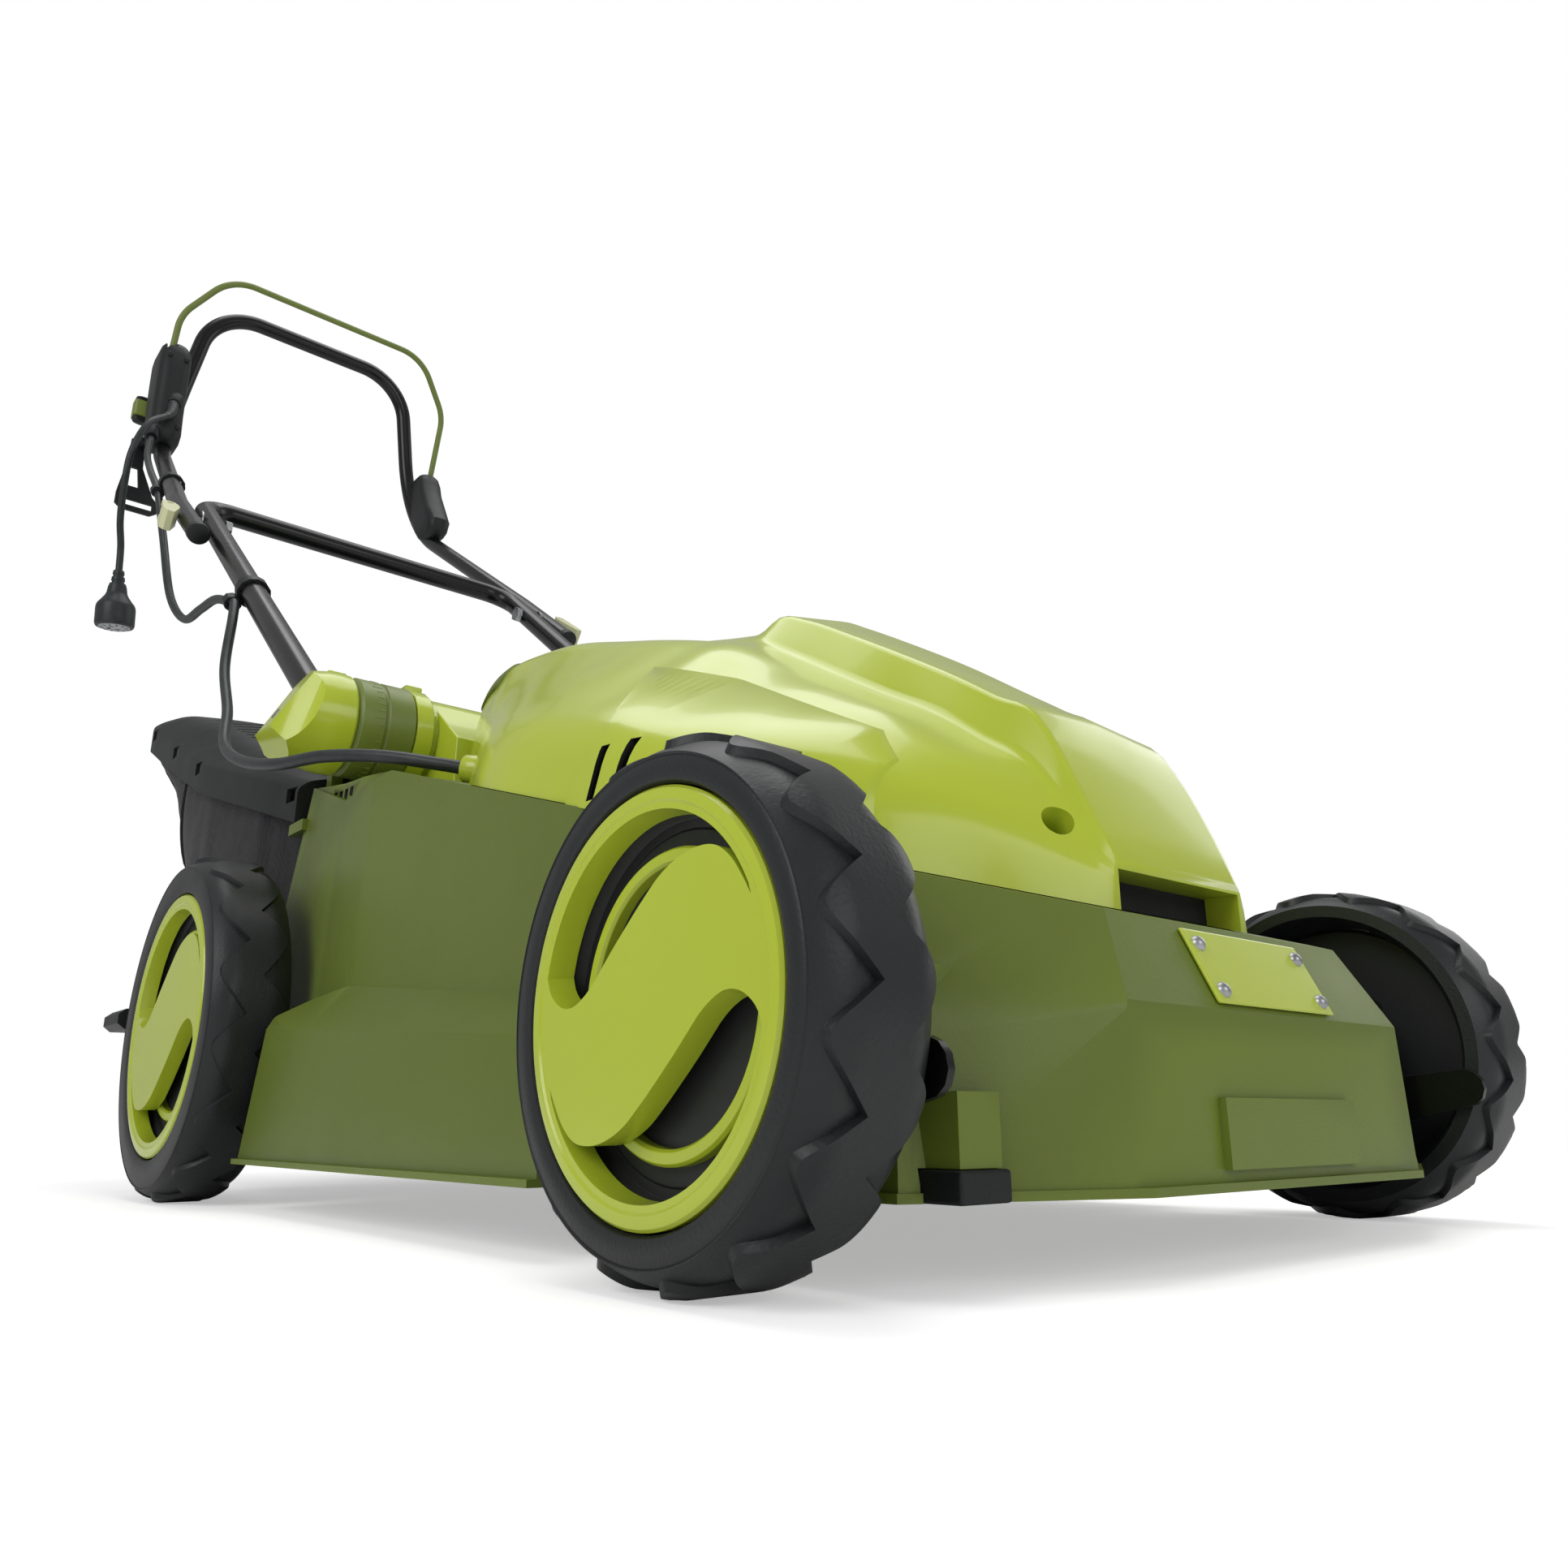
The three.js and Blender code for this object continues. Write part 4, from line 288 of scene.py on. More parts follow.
class Mould:
    """One piece being shaped, in millimetres from the ground under the front axle."""

    def __init__(self):
        self.points, self.faces, self.marks = [], [], []

    def skin(self, rings, mark=0, ends=True, loop=False):
        """Joins rings of equal length into a skin, closed round each ring."""
        start, count = len(self.points), len(rings[0])
        self.points += [Vector(p) for ring in rings for p in ring]
        spans = len(rings) if loop else len(rings) - 1
        for i in range(spans):
            a, b = start + i * count, start + (i + 1) % len(rings) * count
            for j in range(count):
                k = (j + 1) % count
                self.faces.append((a + j, a + k, b + k, b + j))
                self.marks.append(mark)
        if ends and not loop:
            last = start + (len(rings) - 1) * count
            self.faces += [tuple(range(start, start + count)), tuple(range(last, last + count))]
            self.marks += [mark, mark]

    def turned(self, profile, centre, axis, steps=48, mark=0, ends=True):
        """A profile of (radius, along) turned about an axis through centre; it is closed at both ends."""
        axis = Vector(axis).normalized()
        side = axis.orthogonal().normalized()
        other = axis.cross(side)
        rings = []
        for radius, along in profile:
            ring = []
            for i in range(steps):
                turn = 2 * math.pi * i / steps
                out = side * math.cos(turn) + other * math.sin(turn)
                ring.append(Vector(centre) + axis * along + out * radius)
            rings.append(ring)
        self.skin(rings, mark, ends and profile[0][0] > 0)

    def slab(self, outline, axis, near, far, mark=0):
        """An outline in the two other coordinates, drawn out along one axis."""
        spread = {"x": lambda p, v: (v, p[0], p[1]), "y": lambda p, v: (p[0], v, p[1]),
                  "z": lambda p, v: (p[0], p[1], v)}[axis]
        self.skin([[spread(p, v) for p in outline] for v in (near, far)], mark)

    def box(self, low, high, mark=0):
        """A block between its lowest and highest corners."""
        (x0, y0, z0), (x1, y1, z1) = low, high
        self.slab([(x0, y0), (x1, y0), (x1, y1), (x0, y1)], "z", z0, z1, mark)

    def column(self, stations, corner, steps):
        """Rounded rectangles stacked upwards; a station is (z, x from, x to, y from, y to)."""
        rings = []
        for z, x0, x1, y0, y1 in stations:
            reach = min(corner, 0.48 * abs(x1 - x0), 0.48 * abs(y1 - y0))
            middles = ((x1 - reach, y1 - reach), (x0 + reach, y1 - reach), (x0 + reach, y0 + reach),
                       (x1 - reach, y0 + reach))
            rings.append([(x + reach * math.cos(math.pi / 2 * (q + i / steps)),
                           y + reach * math.sin(math.pi / 2 * (q + i / steps)), z)
                          for q, (x, y) in enumerate(middles) for i in range(steps + 1)])
        self.skin(rings)

    def tube(self, path, radius, sides):
        """A round section swept along a path; radius may be a list, one for each point."""
        path = [Vector(p) for p in path]
        radii = radius if isinstance(radius, (list, tuple)) else [radius] * len(path)
        ways = [(path[min(i + 1, len(path) - 1)] - path[max(i - 1, 0)]).normalized() for i in range(len(path))]
        side = ways[0].orthogonal().normalized()
        rings = []
        for point, way, reach in zip(path, ways, radii):
            side = (side - way * side.dot(way)).normalized()
            other = way.cross(side)
            rings.append([point + side * (reach * math.cos(2 * math.pi * i / sides))
                          + other * (reach * math.sin(2 * math.pi * i / sides)) for i in range(sides)])
        self.skin(rings)

    def turn_out(self, name, finishes, smooth=35, bevel=0):
        """The finished mesh as an object, in the frame's metres."""
        mesh = bpy.data.meshes.new(name)
        mesh.from_pydata([place(*p) for p in self.points], [], self.faces)
        mesh.polygons.foreach_set("material_index", self.marks)
        return settle(name, mesh, finishes, smooth, bevel, loops=2)

    def dressed(self, name, finish, smooth, *nodes, bevel=0, body=None):
        """The finished mesh as a piece of one finish, which stands for nodes or rides with a body."""
        return dress(self.turn_out(name, [finish], smooth, bevel), finish, *nodes, body=body)


def settle(name, mesh, finishes, smooth, bevel, loops):
    """Cleans a mesh, sets its finishes, sharp edges and bevel, and links it as an object."""
    shape = bmesh.new()
    shape.from_mesh(mesh)
    bmesh.ops.remove_doubles(shape, verts=shape.verts, dist=WELD)
    bmesh.ops.recalc_face_normals(shape, faces=shape.faces)
    if shape.calc_volume(signed=True) < 0:
        bmesh.ops.reverse_faces(shape, faces=shape.faces)
    shape.to_mesh(mesh)
    shape.free()
    for finish in finishes:
        mesh.materials.append(FINISH[finish])
    mesh.shade_smooth()
    mesh.set_sharp_from_angle(angle=math.radians(smooth))
    piece = bpy.data.objects.new(name, mesh)
    bpy.context.scene.collection.objects.link(piece)
    if bevel:
        ease(piece, bevel, loops, smooth)
    return piece


def ease(piece, width, loops, angle):
    """Rounds the edges that turn by more than an angle in degrees, by a width in millimetres."""
    modifier = piece.modifiers.new("edges", "BEVEL")
    modifier.width, modifier.segments = width * MM, loops
    modifier.limit_method, modifier.angle_limit = "ANGLE", math.radians(angle)
    modifier.harden_normals = True


def bake(piece):
    """Turns what the piece's modifiers give into its mesh."""
    graph = bpy.context.evaluated_depsgraph_get()
    made = bpy.data.meshes.new_from_object(piece.evaluated_get(graph))
    piece.modifiers.clear()
    piece.data = made


def carve(piece, cutter, operation="DIFFERENCE"):
    """Cuts or keeps part of a closed piece with a closed cutter, which is used up."""
    modifier = piece.modifiers.new("carve", "BOOLEAN")
    modifier.object, modifier.operation, modifier.solver = cutter, operation, "EXACT"
    bake(piece)
    bpy.data.objects.remove(cutter)


def cut(piece, mould, *finishes):
    """Cuts a mould's shape out of a piece that has the same finishes."""
    carve(piece, mould.turn_out("cutter", list(finishes)))


def flatten(piece):
    """Merges the faces of each plane, so that a bevel runs cleanly along its edge."""
    shape = bmesh.new()
    shape.from_mesh(piece.data)
    bmesh.ops.remove_doubles(shape, verts=shape.verts, dist=10 * WELD)
    bmesh.ops.dissolve_limit(shape, angle_limit=math.radians(0.4), verts=shape.verts, edges=shape.edges,
                             delimit={"MATERIAL"})
    shape.to_mesh(piece.data)
    shape.free()


def dress(piece, finish, *nodes, body=None):
    """The piece rides with the body of the nodes that it stands for, and those nodes are hidden."""
    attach(piece, body or BODY[nodes[0]])
    if nodes:
        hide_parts(*nodes)
    return piece


def from_frame(node, finish, bevel=1.0, smooth=30, loops=3, name=None):
    """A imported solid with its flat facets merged, its edges rounded and a finish on it."""
    mesh = bpy.data.meshes.new(node)
    shape = bmesh.new()
    shape.from_mesh(frame["nodes"][node].data)
    bmesh.ops.remove_doubles(shape, verts=shape.verts, dist=20 * WELD)
    bmesh.ops.dissolve_limit(shape, angle_limit=math.radians(1), verts=shape.verts, edges=shape.edges)
    shape.to_mesh(mesh)
    shape.free()
    piece = settle(name or node + "_finished", mesh, [finish], smooth, bevel, loops)
    return dress(piece, finish, node)


def fillet(points, radii):
    """A path with its inner corners rounded to the given radii, with a point for every few degrees."""
    step = 4  # degrees
    points = [Vector(p) for p in points]
    path = [points[0]]
    for before, corner, after, radius in zip(points, points[1:], points[2:], radii):
        way_in, way_out = (corner - before).normalized(), (after - corner).normalized()
        turn = way_in.angle(way_out)
        start = corner - way_in * radius * math.tan(turn / 2)
        axis = way_in.cross(way_out).normalized()
        centre = start + axis.cross(way_in) * radius
        count = max(2, math.ceil(math.degrees(turn) / step))
        path += [centre + Matrix.Rotation(turn * i / count, 3, axis) @ (start - centre) for i in range(count + 1)]
    return path + [points[-1]]


def flowing(route, count):
    """Points evenly spaced along a smooth curve through a route."""
    route = [Vector(p) for p in route]
    route = [2 * route[0] - route[1]] + route + [2 * route[-1] - route[-2]]
    dense = []
    for a, b, c, d in zip(route, route[1:], route[2:], route[3:]):
        t0, t1 = 0.0, (b - a).length ** 0.5
        t2 = t1 + (c - b).length ** 0.5
        t3 = t2 + (d - c).length ** 0.5
        for i in range(20):
            t = t1 + (t2 - t1) * i / 20
            ab = a.lerp(b, (t - t0) / (t1 - t0))
            bc = b.lerp(c, (t - t1) / (t2 - t1))
            cd = c.lerp(d, (t - t2) / (t3 - t2))
            abc = ab.lerp(bc, (t - t0) / (t2 - t0))
            bcd = bc.lerp(cd, (t - t1) / (t3 - t1))
            dense.append(abc.lerp(bcd, (t - t1) / (t2 - t1)))
    dense.append(route[-2])
    lengths = [0.0]
    for a, b in zip(dense, dense[1:]):
        lengths.append(lengths[-1] + (b - a).length)
    even, j = [], 0
    for i in range(count):
        goal = lengths[-1] * i / (count - 1)
        while j < len(dense) - 2 and lengths[j + 1] < goal:
            j += 1
        share = (goal - lengths[j]) / (lengths[j + 1] - lengths[j])
        even.append(dense[j].lerp(dense[j + 1], min(1.0, share)))
    return even


def between(table, at):
    """Values of a table of (position, values...) at a position, on smooth curves through its rows."""
    i = max(0, min(len(table) - 2, sum(1 for row in table if row[0] <= at) - 1))
    rows = [table[max(0, i - 1)], table[i], table[i + 1], table[min(len(table) - 1, i + 2)]]
    (x0, *p0), (x1, *p1), (x2, *p2), (x3, *p3) = rows
    span = x2 - x1
    t = min(1.0, max(0.0, (at - x1) / span))
    found = []
    for a, b, c, d in zip(p0, p1, p2, p3):
        slope = (c - b) / span
        before = (b - a) / (x1 - x0) if x1 > x0 else slope
        after = (d - c) / (x3 - x2) if x3 > x2 else slope
        m1 = (before + slope) / 2 if before * slope > 0 or x1 == x0 else 0
        m2 = (after + slope) / 2 if after * slope > 0 or x3 == x2 else 0
        found.append((2 * t ** 3 - 3 * t ** 2 + 1) * b + (t ** 3 - 2 * t ** 2 + t) * span * m1
                     + (3 * t ** 2 - 2 * t ** 3) * c + (t ** 3 - t ** 2) * span * m2)
    return found


def straight(table, at):
    """Values of a table at a position, on straight lines between its rows."""
    i = max(0, min(len(table) - 2, sum(1 for row in table if row[0] <= at) - 1))
    (x0, *before), (x1, *after) = table[i], table[i + 1]
    return [a + (b - a) * (at - x0) / (x1 - x0) for a, b in zip(before, after)]


def rounded(corners, radii, steps):
    """An open 2-D line through corners, each rounded to its radius, always with the same number of points."""
    line = [corners[0]]
    for before, corner, after, radius in zip(corners, corners[1:], corners[2:], radii):
        a, p, b = Vector(before), Vector(corner), Vector(after)
        reach = min(radius, 0.45 * (a - p).length, 0.45 * (b - p).length)
        start, end = p + (a - p).normalized() * reach, p + (b - p).normalized() * reach
        for i in range(steps + 1):
            t = i / steps
            line.append(tuple(start * (1 - t) ** 2 + p * 2 * t * (1 - t) + end * t ** 2))
    return line + [corners[-1]]


# ---------------------------------------------------------------- the pieces, one operator for each group
class MowerOperator(bpy.types.Operator):
    """What every operator of this file shares."""

    bl_options = {"REGISTER", "UNDO"}

    def execute(self, context):
        self.make(context.scene.mower_sizes, context.scene.mower_colours)
        return {"FINISHED"}


# where the viewer stands, and the three axes of the view
CAMERA = {"lens": 27.108, "sensor": 36, "at": (-0.4414, -0.9207, 0.04987),
          "right": (0.76215216, -0.64739204, -0.0027624), "up": (-0.17524, -0.21040784, 0.96177933),
          "back": (-0.62322952, -0.73253811, -0.27381177)}
# half the floor's width, how far its paper is lifted to white, and where it fades to the background
FLOOR = {"reach": 60.0, "lift": 0.42, "fade": (0.95, 1.9)}
WORLD_LIGHT = 0.38  # how strongly the white surroundings light the object
# name, place, size and power of each lamp, and the point that all of them face
LAMPS = [
    ("softbox_left", (-2.6, -0.9, 1.7), (1.6, 1.6), 32),
    ("softbox_front", (0.2, -3.2, 1.3), (2.0, 1.2), 17),
    ("softbox_top", (0.2, 0.3, 3.0), (2.2, 2.2), 36),
    ("softbox_right", (2.8, -0.4, 1.6), (1.4, 1.8), 12),
]
LAMPS_AIM = (0, 0, 0.35)


class MOWER_OT_stage(MowerOperator):
    """Floor, soft light and camera"""

    bl_idname = "mower.stage"
    bl_label = "Stage"

    def make(self, sizes, colours):
        scene = bpy.context.scene
        scene.view_settings.view_transform = "Standard"
        camera = bpy.data.objects.new("camera", bpy.data.cameras.new("camera"))
        camera.data.lens, camera.data.sensor_width = CAMERA["lens"], CAMERA["sensor"]
        axes = Matrix([Vector(CAMERA[way]) for way in ("right", "up", "back")]).transposed()
        camera.matrix_world = Matrix.Translation(CAMERA["at"]) @ axes.to_4x4()
        scene.collection.objects.link(camera)
        scene.camera = camera
        self.floor()
        self.world()
        for name, where, size, power in LAMPS:
            data = bpy.data.lights.new(name, "AREA")
            data.shape, data.size, data.size_y, data.energy = "RECTANGLE", size[0], size[1], power
            lamp = bpy.data.objects.new(name, data)
            lamp.location = where
            aim = Vector(LAMPS_AIM) - Vector(where)
            lamp.rotation_euler = aim.to_track_quat("-Z", "Y").to_euler()
            scene.collection.objects.link(lamp)

    def floor(self):
        """Matt white paper that keeps the mower's shadow."""
        mesh = bpy.data.meshes.new("floor")
        reach = FLOOR["reach"]
        mesh.from_pydata([(-reach, -reach, 0), (reach, -reach, 0), (reach, reach, 0), (-reach, reach, 0)], [],
                         [(0, 1, 2, 3)])
        floor = bpy.data.objects.new("floor", mesh)
        material, tree, shader, where = plain("paper_matt_white", "fafafa", **{"Roughness": 0.9})
        seen = add_node(tree, "LightPath").outputs["Is Camera Ray"]
        lift = add_node(tree, "Math", {"operation": "MULTIPLY"}, {1: FLOOR["lift"]}, {0: seen}).outputs[0]
        shader.inputs["Emission Color"].default_value = (1, 1, 1, 1)
        tree.links.new(lift, shader.inputs["Emission Strength"])
        # beyond the mower's shadow the paper fades to the white of the background
        away = add_node(tree, "VectorMath", {"operation": "LENGTH"}, links={0: where}).outputs["Value"]
        near, far = FLOOR["fade"]
        fade = add_node(tree, "MapRange", {"interpolation_type": "SMOOTHSTEP"}, {"From Min": near, "From Max": far},
                        {"Value": away}).outputs["Result"]
        fade = add_node(tree, "Math", {"operation": "MULTIPLY"}, links={0: fade, 1: seen}).outputs[0]
        white = add_node(tree, "Emission", values={"Color": (1, 1, 1, 1), "Strength": 1.0}).outputs["Emission"]
        mixed = add_node(tree, "MixShader", links={0: fade, 1: shader.outputs["BSDF"], 2: white}).outputs["Shader"]
        tree.links.new(mixed, tree.nodes["Material Output"].inputs["Surface"])
        mesh.materials.append(material)
        bpy.context.scene.collection.objects.link(floor)

    def world(self):
        """White to the eye and through clear pieces, and a weaker even light on the object."""
        world = bpy.data.worlds.new("studio")
        bpy.context.scene.world = world
        world.use_nodes = True
        tree = world.node_tree
        tree.nodes.clear()
        path = add_node(tree, "LightPath").outputs
        shown = add_node(tree, "Math", {"operation": "MAXIMUM"}, links={
            0: path["Is Camera Ray"], 1: path["Is Transmission Ray"]}).outputs[0]
        strength = add_node(tree, "MapRange", values={"To Min": WORLD_LIGHT, "To Max": 1.0}, links={"Value": shown})
        light = add_node(tree, "Background", values={"Color": (1, 1, 1, 1)},
                         links={"Strength": strength.outputs["Result"]})
        out = add_node(tree, "OutputWorld", links={"Surface": light.outputs["Background"]})
        out.is_active_output = True


class MOWER_OT_finishes(MowerOperator):
    """Materials for every piece"""

    bl_idname = "mower.finishes"
    bl_label = "Finishes"

    def make(self, sizes, colours):
        FINISH.update(make_finishes(colours, sizes))


RIM = {"front": 66.6, "rear": 85.6}
TYRE = {"front": 85.2, "rear": 112.7}
AXLE = {"front": 0.0, "rear": 567.5}
# both faces of the wheels, how deep the cover and the dish sit, and the tread's lugs, depth and rounded edges
WHEEL = {"inner": 193.0, "outer": 240.0, "cover": 10.0, "dish": 10.5, "lugs": 15, "tread": 2.8, "step": 5.8,
         "edge": 12}
# a lug's fins, as shares of half the width: how far in its nose lies, how much further in its valleys lie, and how
# wide its flank is; "at" is where the nose lies along a lug, "round" shapes it, and "parts" are a lug's steps
FIN = {"nose": 0.15, "valley": 0.67, "flank": 0.028, "at": 0.42, "round": 0.85, "parts": 30}
# half of the S-shaped web's outline, as shares of the rim's radius: a hook, then a shoulder that runs out to the rim
WEB = [(-0.868, 0.172), (-0.835, 0.10), (-0.775, 0.045), (-0.70, 0.012), (-0.62, 0.008), (-0.54, 0.035), (-0.45, 0.09),
       (-0.37, 0.16), (-0.26, 0.26), (-0.13, 0.37), (0.0, 0.475), (0.12, 0.56), (0.26, 0.62), (0.40, 0.645),
       (0.54, 0.63), (0.65, 0.56), (0.735, 0.46), (0.793, 0.375)]
WINDOW_EDGE = 0.885  # how far out the windows reach, as a share of the rim's radius


class MOWER_OT_wheels(MowerOperator):
    """Tyres with wave-shaped lugs, covers with an S-shaped web, dishes and nuts"""

    bl_idname = "mower.wheels"
    bl_label = "Wheels"

    def make(self, sizes, colours):
        for end in ENDS:
            for label, side in SIDES:
                self.tyre(end, label, side)
                self.cover(end, label, side)
                self.dish(end, label, side)
                from_frame(f"{end}_{label}_wheel_nut", "steel", 0.8)

    def fin(self, turn, half):
        """How far in from an edge the fins start, as a share of half the width: round noses, sharp valleys."""
        share = (turn * WHEEL["lugs"] / (2 * math.pi) + half) % 1.0
        nose = FIN["at"]
        t = share / (2 * nose) if share < nose else 0.5 + (share - nose) / (2 - 2 * nose)
        return FIN["nose"] + FIN["valley"] * (1 - math.sin(math.pi * t)) ** FIN["round"]

    def tread_line(self, at):
        """Half of the tread, from its edge to the middle: the low part, the fin's flank, then its top."""
        top = at + FIN["flank"]
        return ([(at * k / 6, 0.0) for k in range(7)] + [(top, 1.0)]
                + [(top + (0.97 - at) * k / 5, 1.0) for k in range(1, 6)])

    def tyre(self, end, label, side):
        """A tyre whose fins reach in from both edges in turn."""
        radius, rim, y = TYRE[end], RIM[end], AXLE[end]
        inner, outer = WHEEL["inner"], WHEEL["outer"]
        width = outer - inner
        steps = WHEEL["lugs"] * FIN["parts"]
        # the outer side wall, with a fine moulded circle, then the bead and the inner side wall
        wall = [(radius - 8.2, outer), (radius - 9.0, outer - 0.5), (radius - 9.8, outer), (rim + 3.5, outer),
                (rim + 1.6, outer - 0.6), (rim + 0.6, outer - 2.2), (rim + 0.6, outer - 12), (rim + 0.6, inner + 6),
                (rim + 4, inner), (radius - 9, inner)]
        mould, rings = Mould(), []
        for i in range(steps):
            turn = 2 * math.pi * i / steps
            near, far = (self.tread_line(self.fin(turn, half)) for half in (0, 0.5))
            ring = []
            for u, high in [(e / 2, h) for e, h in near] + [(1 - e / 2, h) for e, h in reversed(far)]:
                edge = min(u, 1 - u) * width
                drop = WHEEL["step"] * max(0.0, 1 - edge / WHEEL["edge"]) ** 1.7
                ring.append((radius - drop - WHEEL["tread"] * (1 - high), inner + u * width))
            rings.append([self.spot(y, radius, side, r, turn, x) for r, x in ring + wall])
        mould.skin(rings, loop=True)
        mould.dressed(f"tyre_{end}_{label}", "tyre", 40, f"{end}_{label}_tyre")

    def spot(self, y, axle_z, side, radius, turn, x):
        """A point of a wheel from its radius, its turn and its distance from the mower's middle."""
        return (side * x, y + radius * math.cos(turn), axle_z + radius * math.sin(turn))

    def face_line(self, rim):
        """One window's outline: the web's edge and the rim's inner edge back to its start."""
        start, end = math.atan2(WEB[-1][1], WEB[-1][0]), math.atan2(WEB[0][1], WEB[0][0])
        turns = [start + (end - start) * i / 40 for i in range(1, 40)]
        arc = [(WINDOW_EDGE * math.cos(turn), WINDOW_EDGE * math.sin(turn)) for turn in turns]
        web = [(p.x, p.y) for p in flowing([(u, v, 0) for u, v in WEB], 64)]
        return [(u * rim, v * rim) for u, v in web + arc]

    def cover(self, end, label, side):
        """The lime cover: a turned disc with two windows that leave the S-shaped web."""
        radius, rim, y = TYRE[end], RIM[end], AXLE[end]
        outer = WHEEL["outer"]
        deep = outer - WHEEL["cover"]
        mould = Mould()
        lip = 0.93 * rim
        mould.turned([(0, deep), (rim, deep), (rim, outer - 1.4), (rim - 1.0, outer - 0.3), (rim - 2.2, outer),
                      (lip, outer), (lip - 0.8, outer - 0.7), (0, outer - 0.7)], (0, y, radius), (side, 0, 0), 144)
        piece = mould.turn_out(f"cover_{end}_{label}", ["lime"], smooth=30)
        outline = self.face_line(rim)
        for way in (1, -1):
            cutter = Mould()
            # the windows' walls lean a little, as they must to leave the mould
            rings = []
            for x, grow in ((outer + 2, 1.012), (deep - 1, 0.972)):
                middle = Vector((0.0, 0.62 * rim)) * way
                ring = []
                for u, v in outline:
                    p = middle + (Vector((u, v)) * way - middle) * grow
                    ring.append((side * x, y - p.x, radius + p.y))
                rings.append(ring)
            cutter.skin(rings)
            cut(piece, cutter, "lime")
        flatten(piece)
        piece.data.set_sharp_from_angle(angle=math.radians(30))
        ease(piece, 1.1, 3, 35)
        dress(piece, "lime", f"{end}_{label}_wheel_cover")

    def dish(self, end, label, side):
        """The grey dish behind the windows, with a lime ring standing on it, and the barrel round the axle."""
        radius, rim, y = TYRE[end], RIM[end], AXLE[end]
        inner, outer, steps = WHEEL["inner"], WHEEL["outer"], 128
        floor = outer - WHEEL["dish"] - 5
        mould = Mould()
        mould.turned([(6.6, inner), (20, inner), (24, floor - 6), (rim - 2, floor - 6), (rim, floor - 4),
                      (rim, outer - WHEEL["cover"] - 0.3), (rim - 4.5, outer - 10.3), (0.90 * rim, floor + 1.5),
                      (0.88 * rim, floor), (0.83 * rim, floor - 0.4), (0.82 * rim, floor + 0.3), (0.2 * rim, floor),
                      (6.6, floor)], (0, y, radius), (side, 0, 0), steps, ends=False)
        mould.skin([mould.points[-steps:], mould.points[:steps]], ends=False)
        near, far = 0.655 * rim, 0.735 * rim
        mould.turned([(near, floor - 1), (far, floor - 1), (far, floor + 3.8), (0.72 * rim, floor + 5),
                      (0.67 * rim, floor + 5), (near, floor + 3.8), (near, floor - 1)], (0, y, radius), (side, 0, 0),
                     steps, mark=1, ends=False)
        piece = mould.turn_out(f"dish_{end}_{label}", ["dish", "lime"], smooth=30, bevel=0.3)
        dress(piece, "dish", f"{end}_{label}_wheel_core")


class MOWER_OT_running_gear(MowerOperator):
    """Cranks, axle blocks, link rod and the height lever"""

    bl_idname = "mower.running_gear"
    bl_label = "Running gear"

    def make(self, sizes, colours):
        for end in ENDS:
            from_frame(f"{end}_axle_crank", "tube", 0.8, smooth=40)
            for label, _side in SIDES:
                from_frame(f"{end}_{label}_axle_block", "black", 1.2, smooth=40)
        from_frame("link_rod", "steel", 0, smooth=50)
        from_frame("height_lever", "black", 1.5, smooth=40)


# the deck's rear side wall leans in from one y to another, from this half width
REAR_WALL = {"half": 186.6, "from": 346, "to": 494, "lean": 0.1216}
# the louvred rim's stations: y, and the z of its foot and its top
GRILLE = [[348, 243, 247.6], [385, 245, 255], [420, 249, 261.5], [445, 251, 265], [470, 253, 269], [500, 264, 274.5],
          [533, 276, 279.8]]
GRILLE_SLOTS = {"count": 4, "from": 444, "step": 14}


class MOWER_OT_deck(MowerOperator):
    """The olive deck, its louvred rims and the bare riveted plate"""

    bl_idname = "mower.deck"
    bl_label = "Deck"

    def make(self, sizes, colours):
        from_frame("deck_shell", "olive", 1.6, smooth=24, loops=3, name="deck")
        from_frame("front_plate", "lime", 0.8, smooth=30, name="plate")
        self.rivets()
        for label, side in SIDES:
            self.grille(label, side)

    def rivets(self):
        """Four domed rivets standing on the leaning plate."""
        low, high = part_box("front_plate")
        lean = (high.y - low.y - 0.0022) / (high.z - low.z)
        mould = Mould()
        for x in (-37, 37):
            for z in (95, 113):
                y = (low.y + lean * (z * MM - low.z)) / MM - AXLE_Y
                mould.turned([(0, 2.6), (1.6, 2.3), (2.8, 1.4), (3.3, 0), (3.3, -1.5), (0, -1.5)], (x, y + 0.3, z),
                             (0, -1, lean), 20)
        mould.dressed("plate_rivets", "steel", 50, body="deck")

    def grille(self, label, side):
        """The louvred rim over the deck's rear corner; the walls and floors of its slots are painted near black as
        shade.
        """
        mould, rings = Mould(), []
        for y, low, high in GRILLE:
            outer = REAR_WALL["half"] - (min(y, REAR_WALL["to"]) - REAR_WALL["from"]) * REAR_WALL["lean"]
            rings.append([(side * (outer - 9), y, low), (side * outer, y, low), (side * (outer - 0.8), y, high),
                          (side * (outer - 9), y, high)])
        mould.skin(rings)
        piece = mould.turn_out(f"rear_grille_{label}", ["olive", "painted_shade"], 30)
        near, far = sorted((side * 163, side * 190))
        for i in range(GRILLE_SLOTS["count"]):
            y = GRILLE_SLOTS["from"] + i * GRILLE_SLOTS["step"]
            low, high = straight(GRILLE, y)
            foot, top = low + 3, high - (3.5 + i * 0.6)
            cutter = Mould()
            # the slot's walls and floor take the painted shade finish
            cutter.slab([(y, foot), (y + 9, foot + 3), (y + 9, top + 1), (y, top)], "x", near, far, mark=1)
            cut(piece, cutter, "olive", "painted_shade")
        dress(piece, "olive", body="deck")


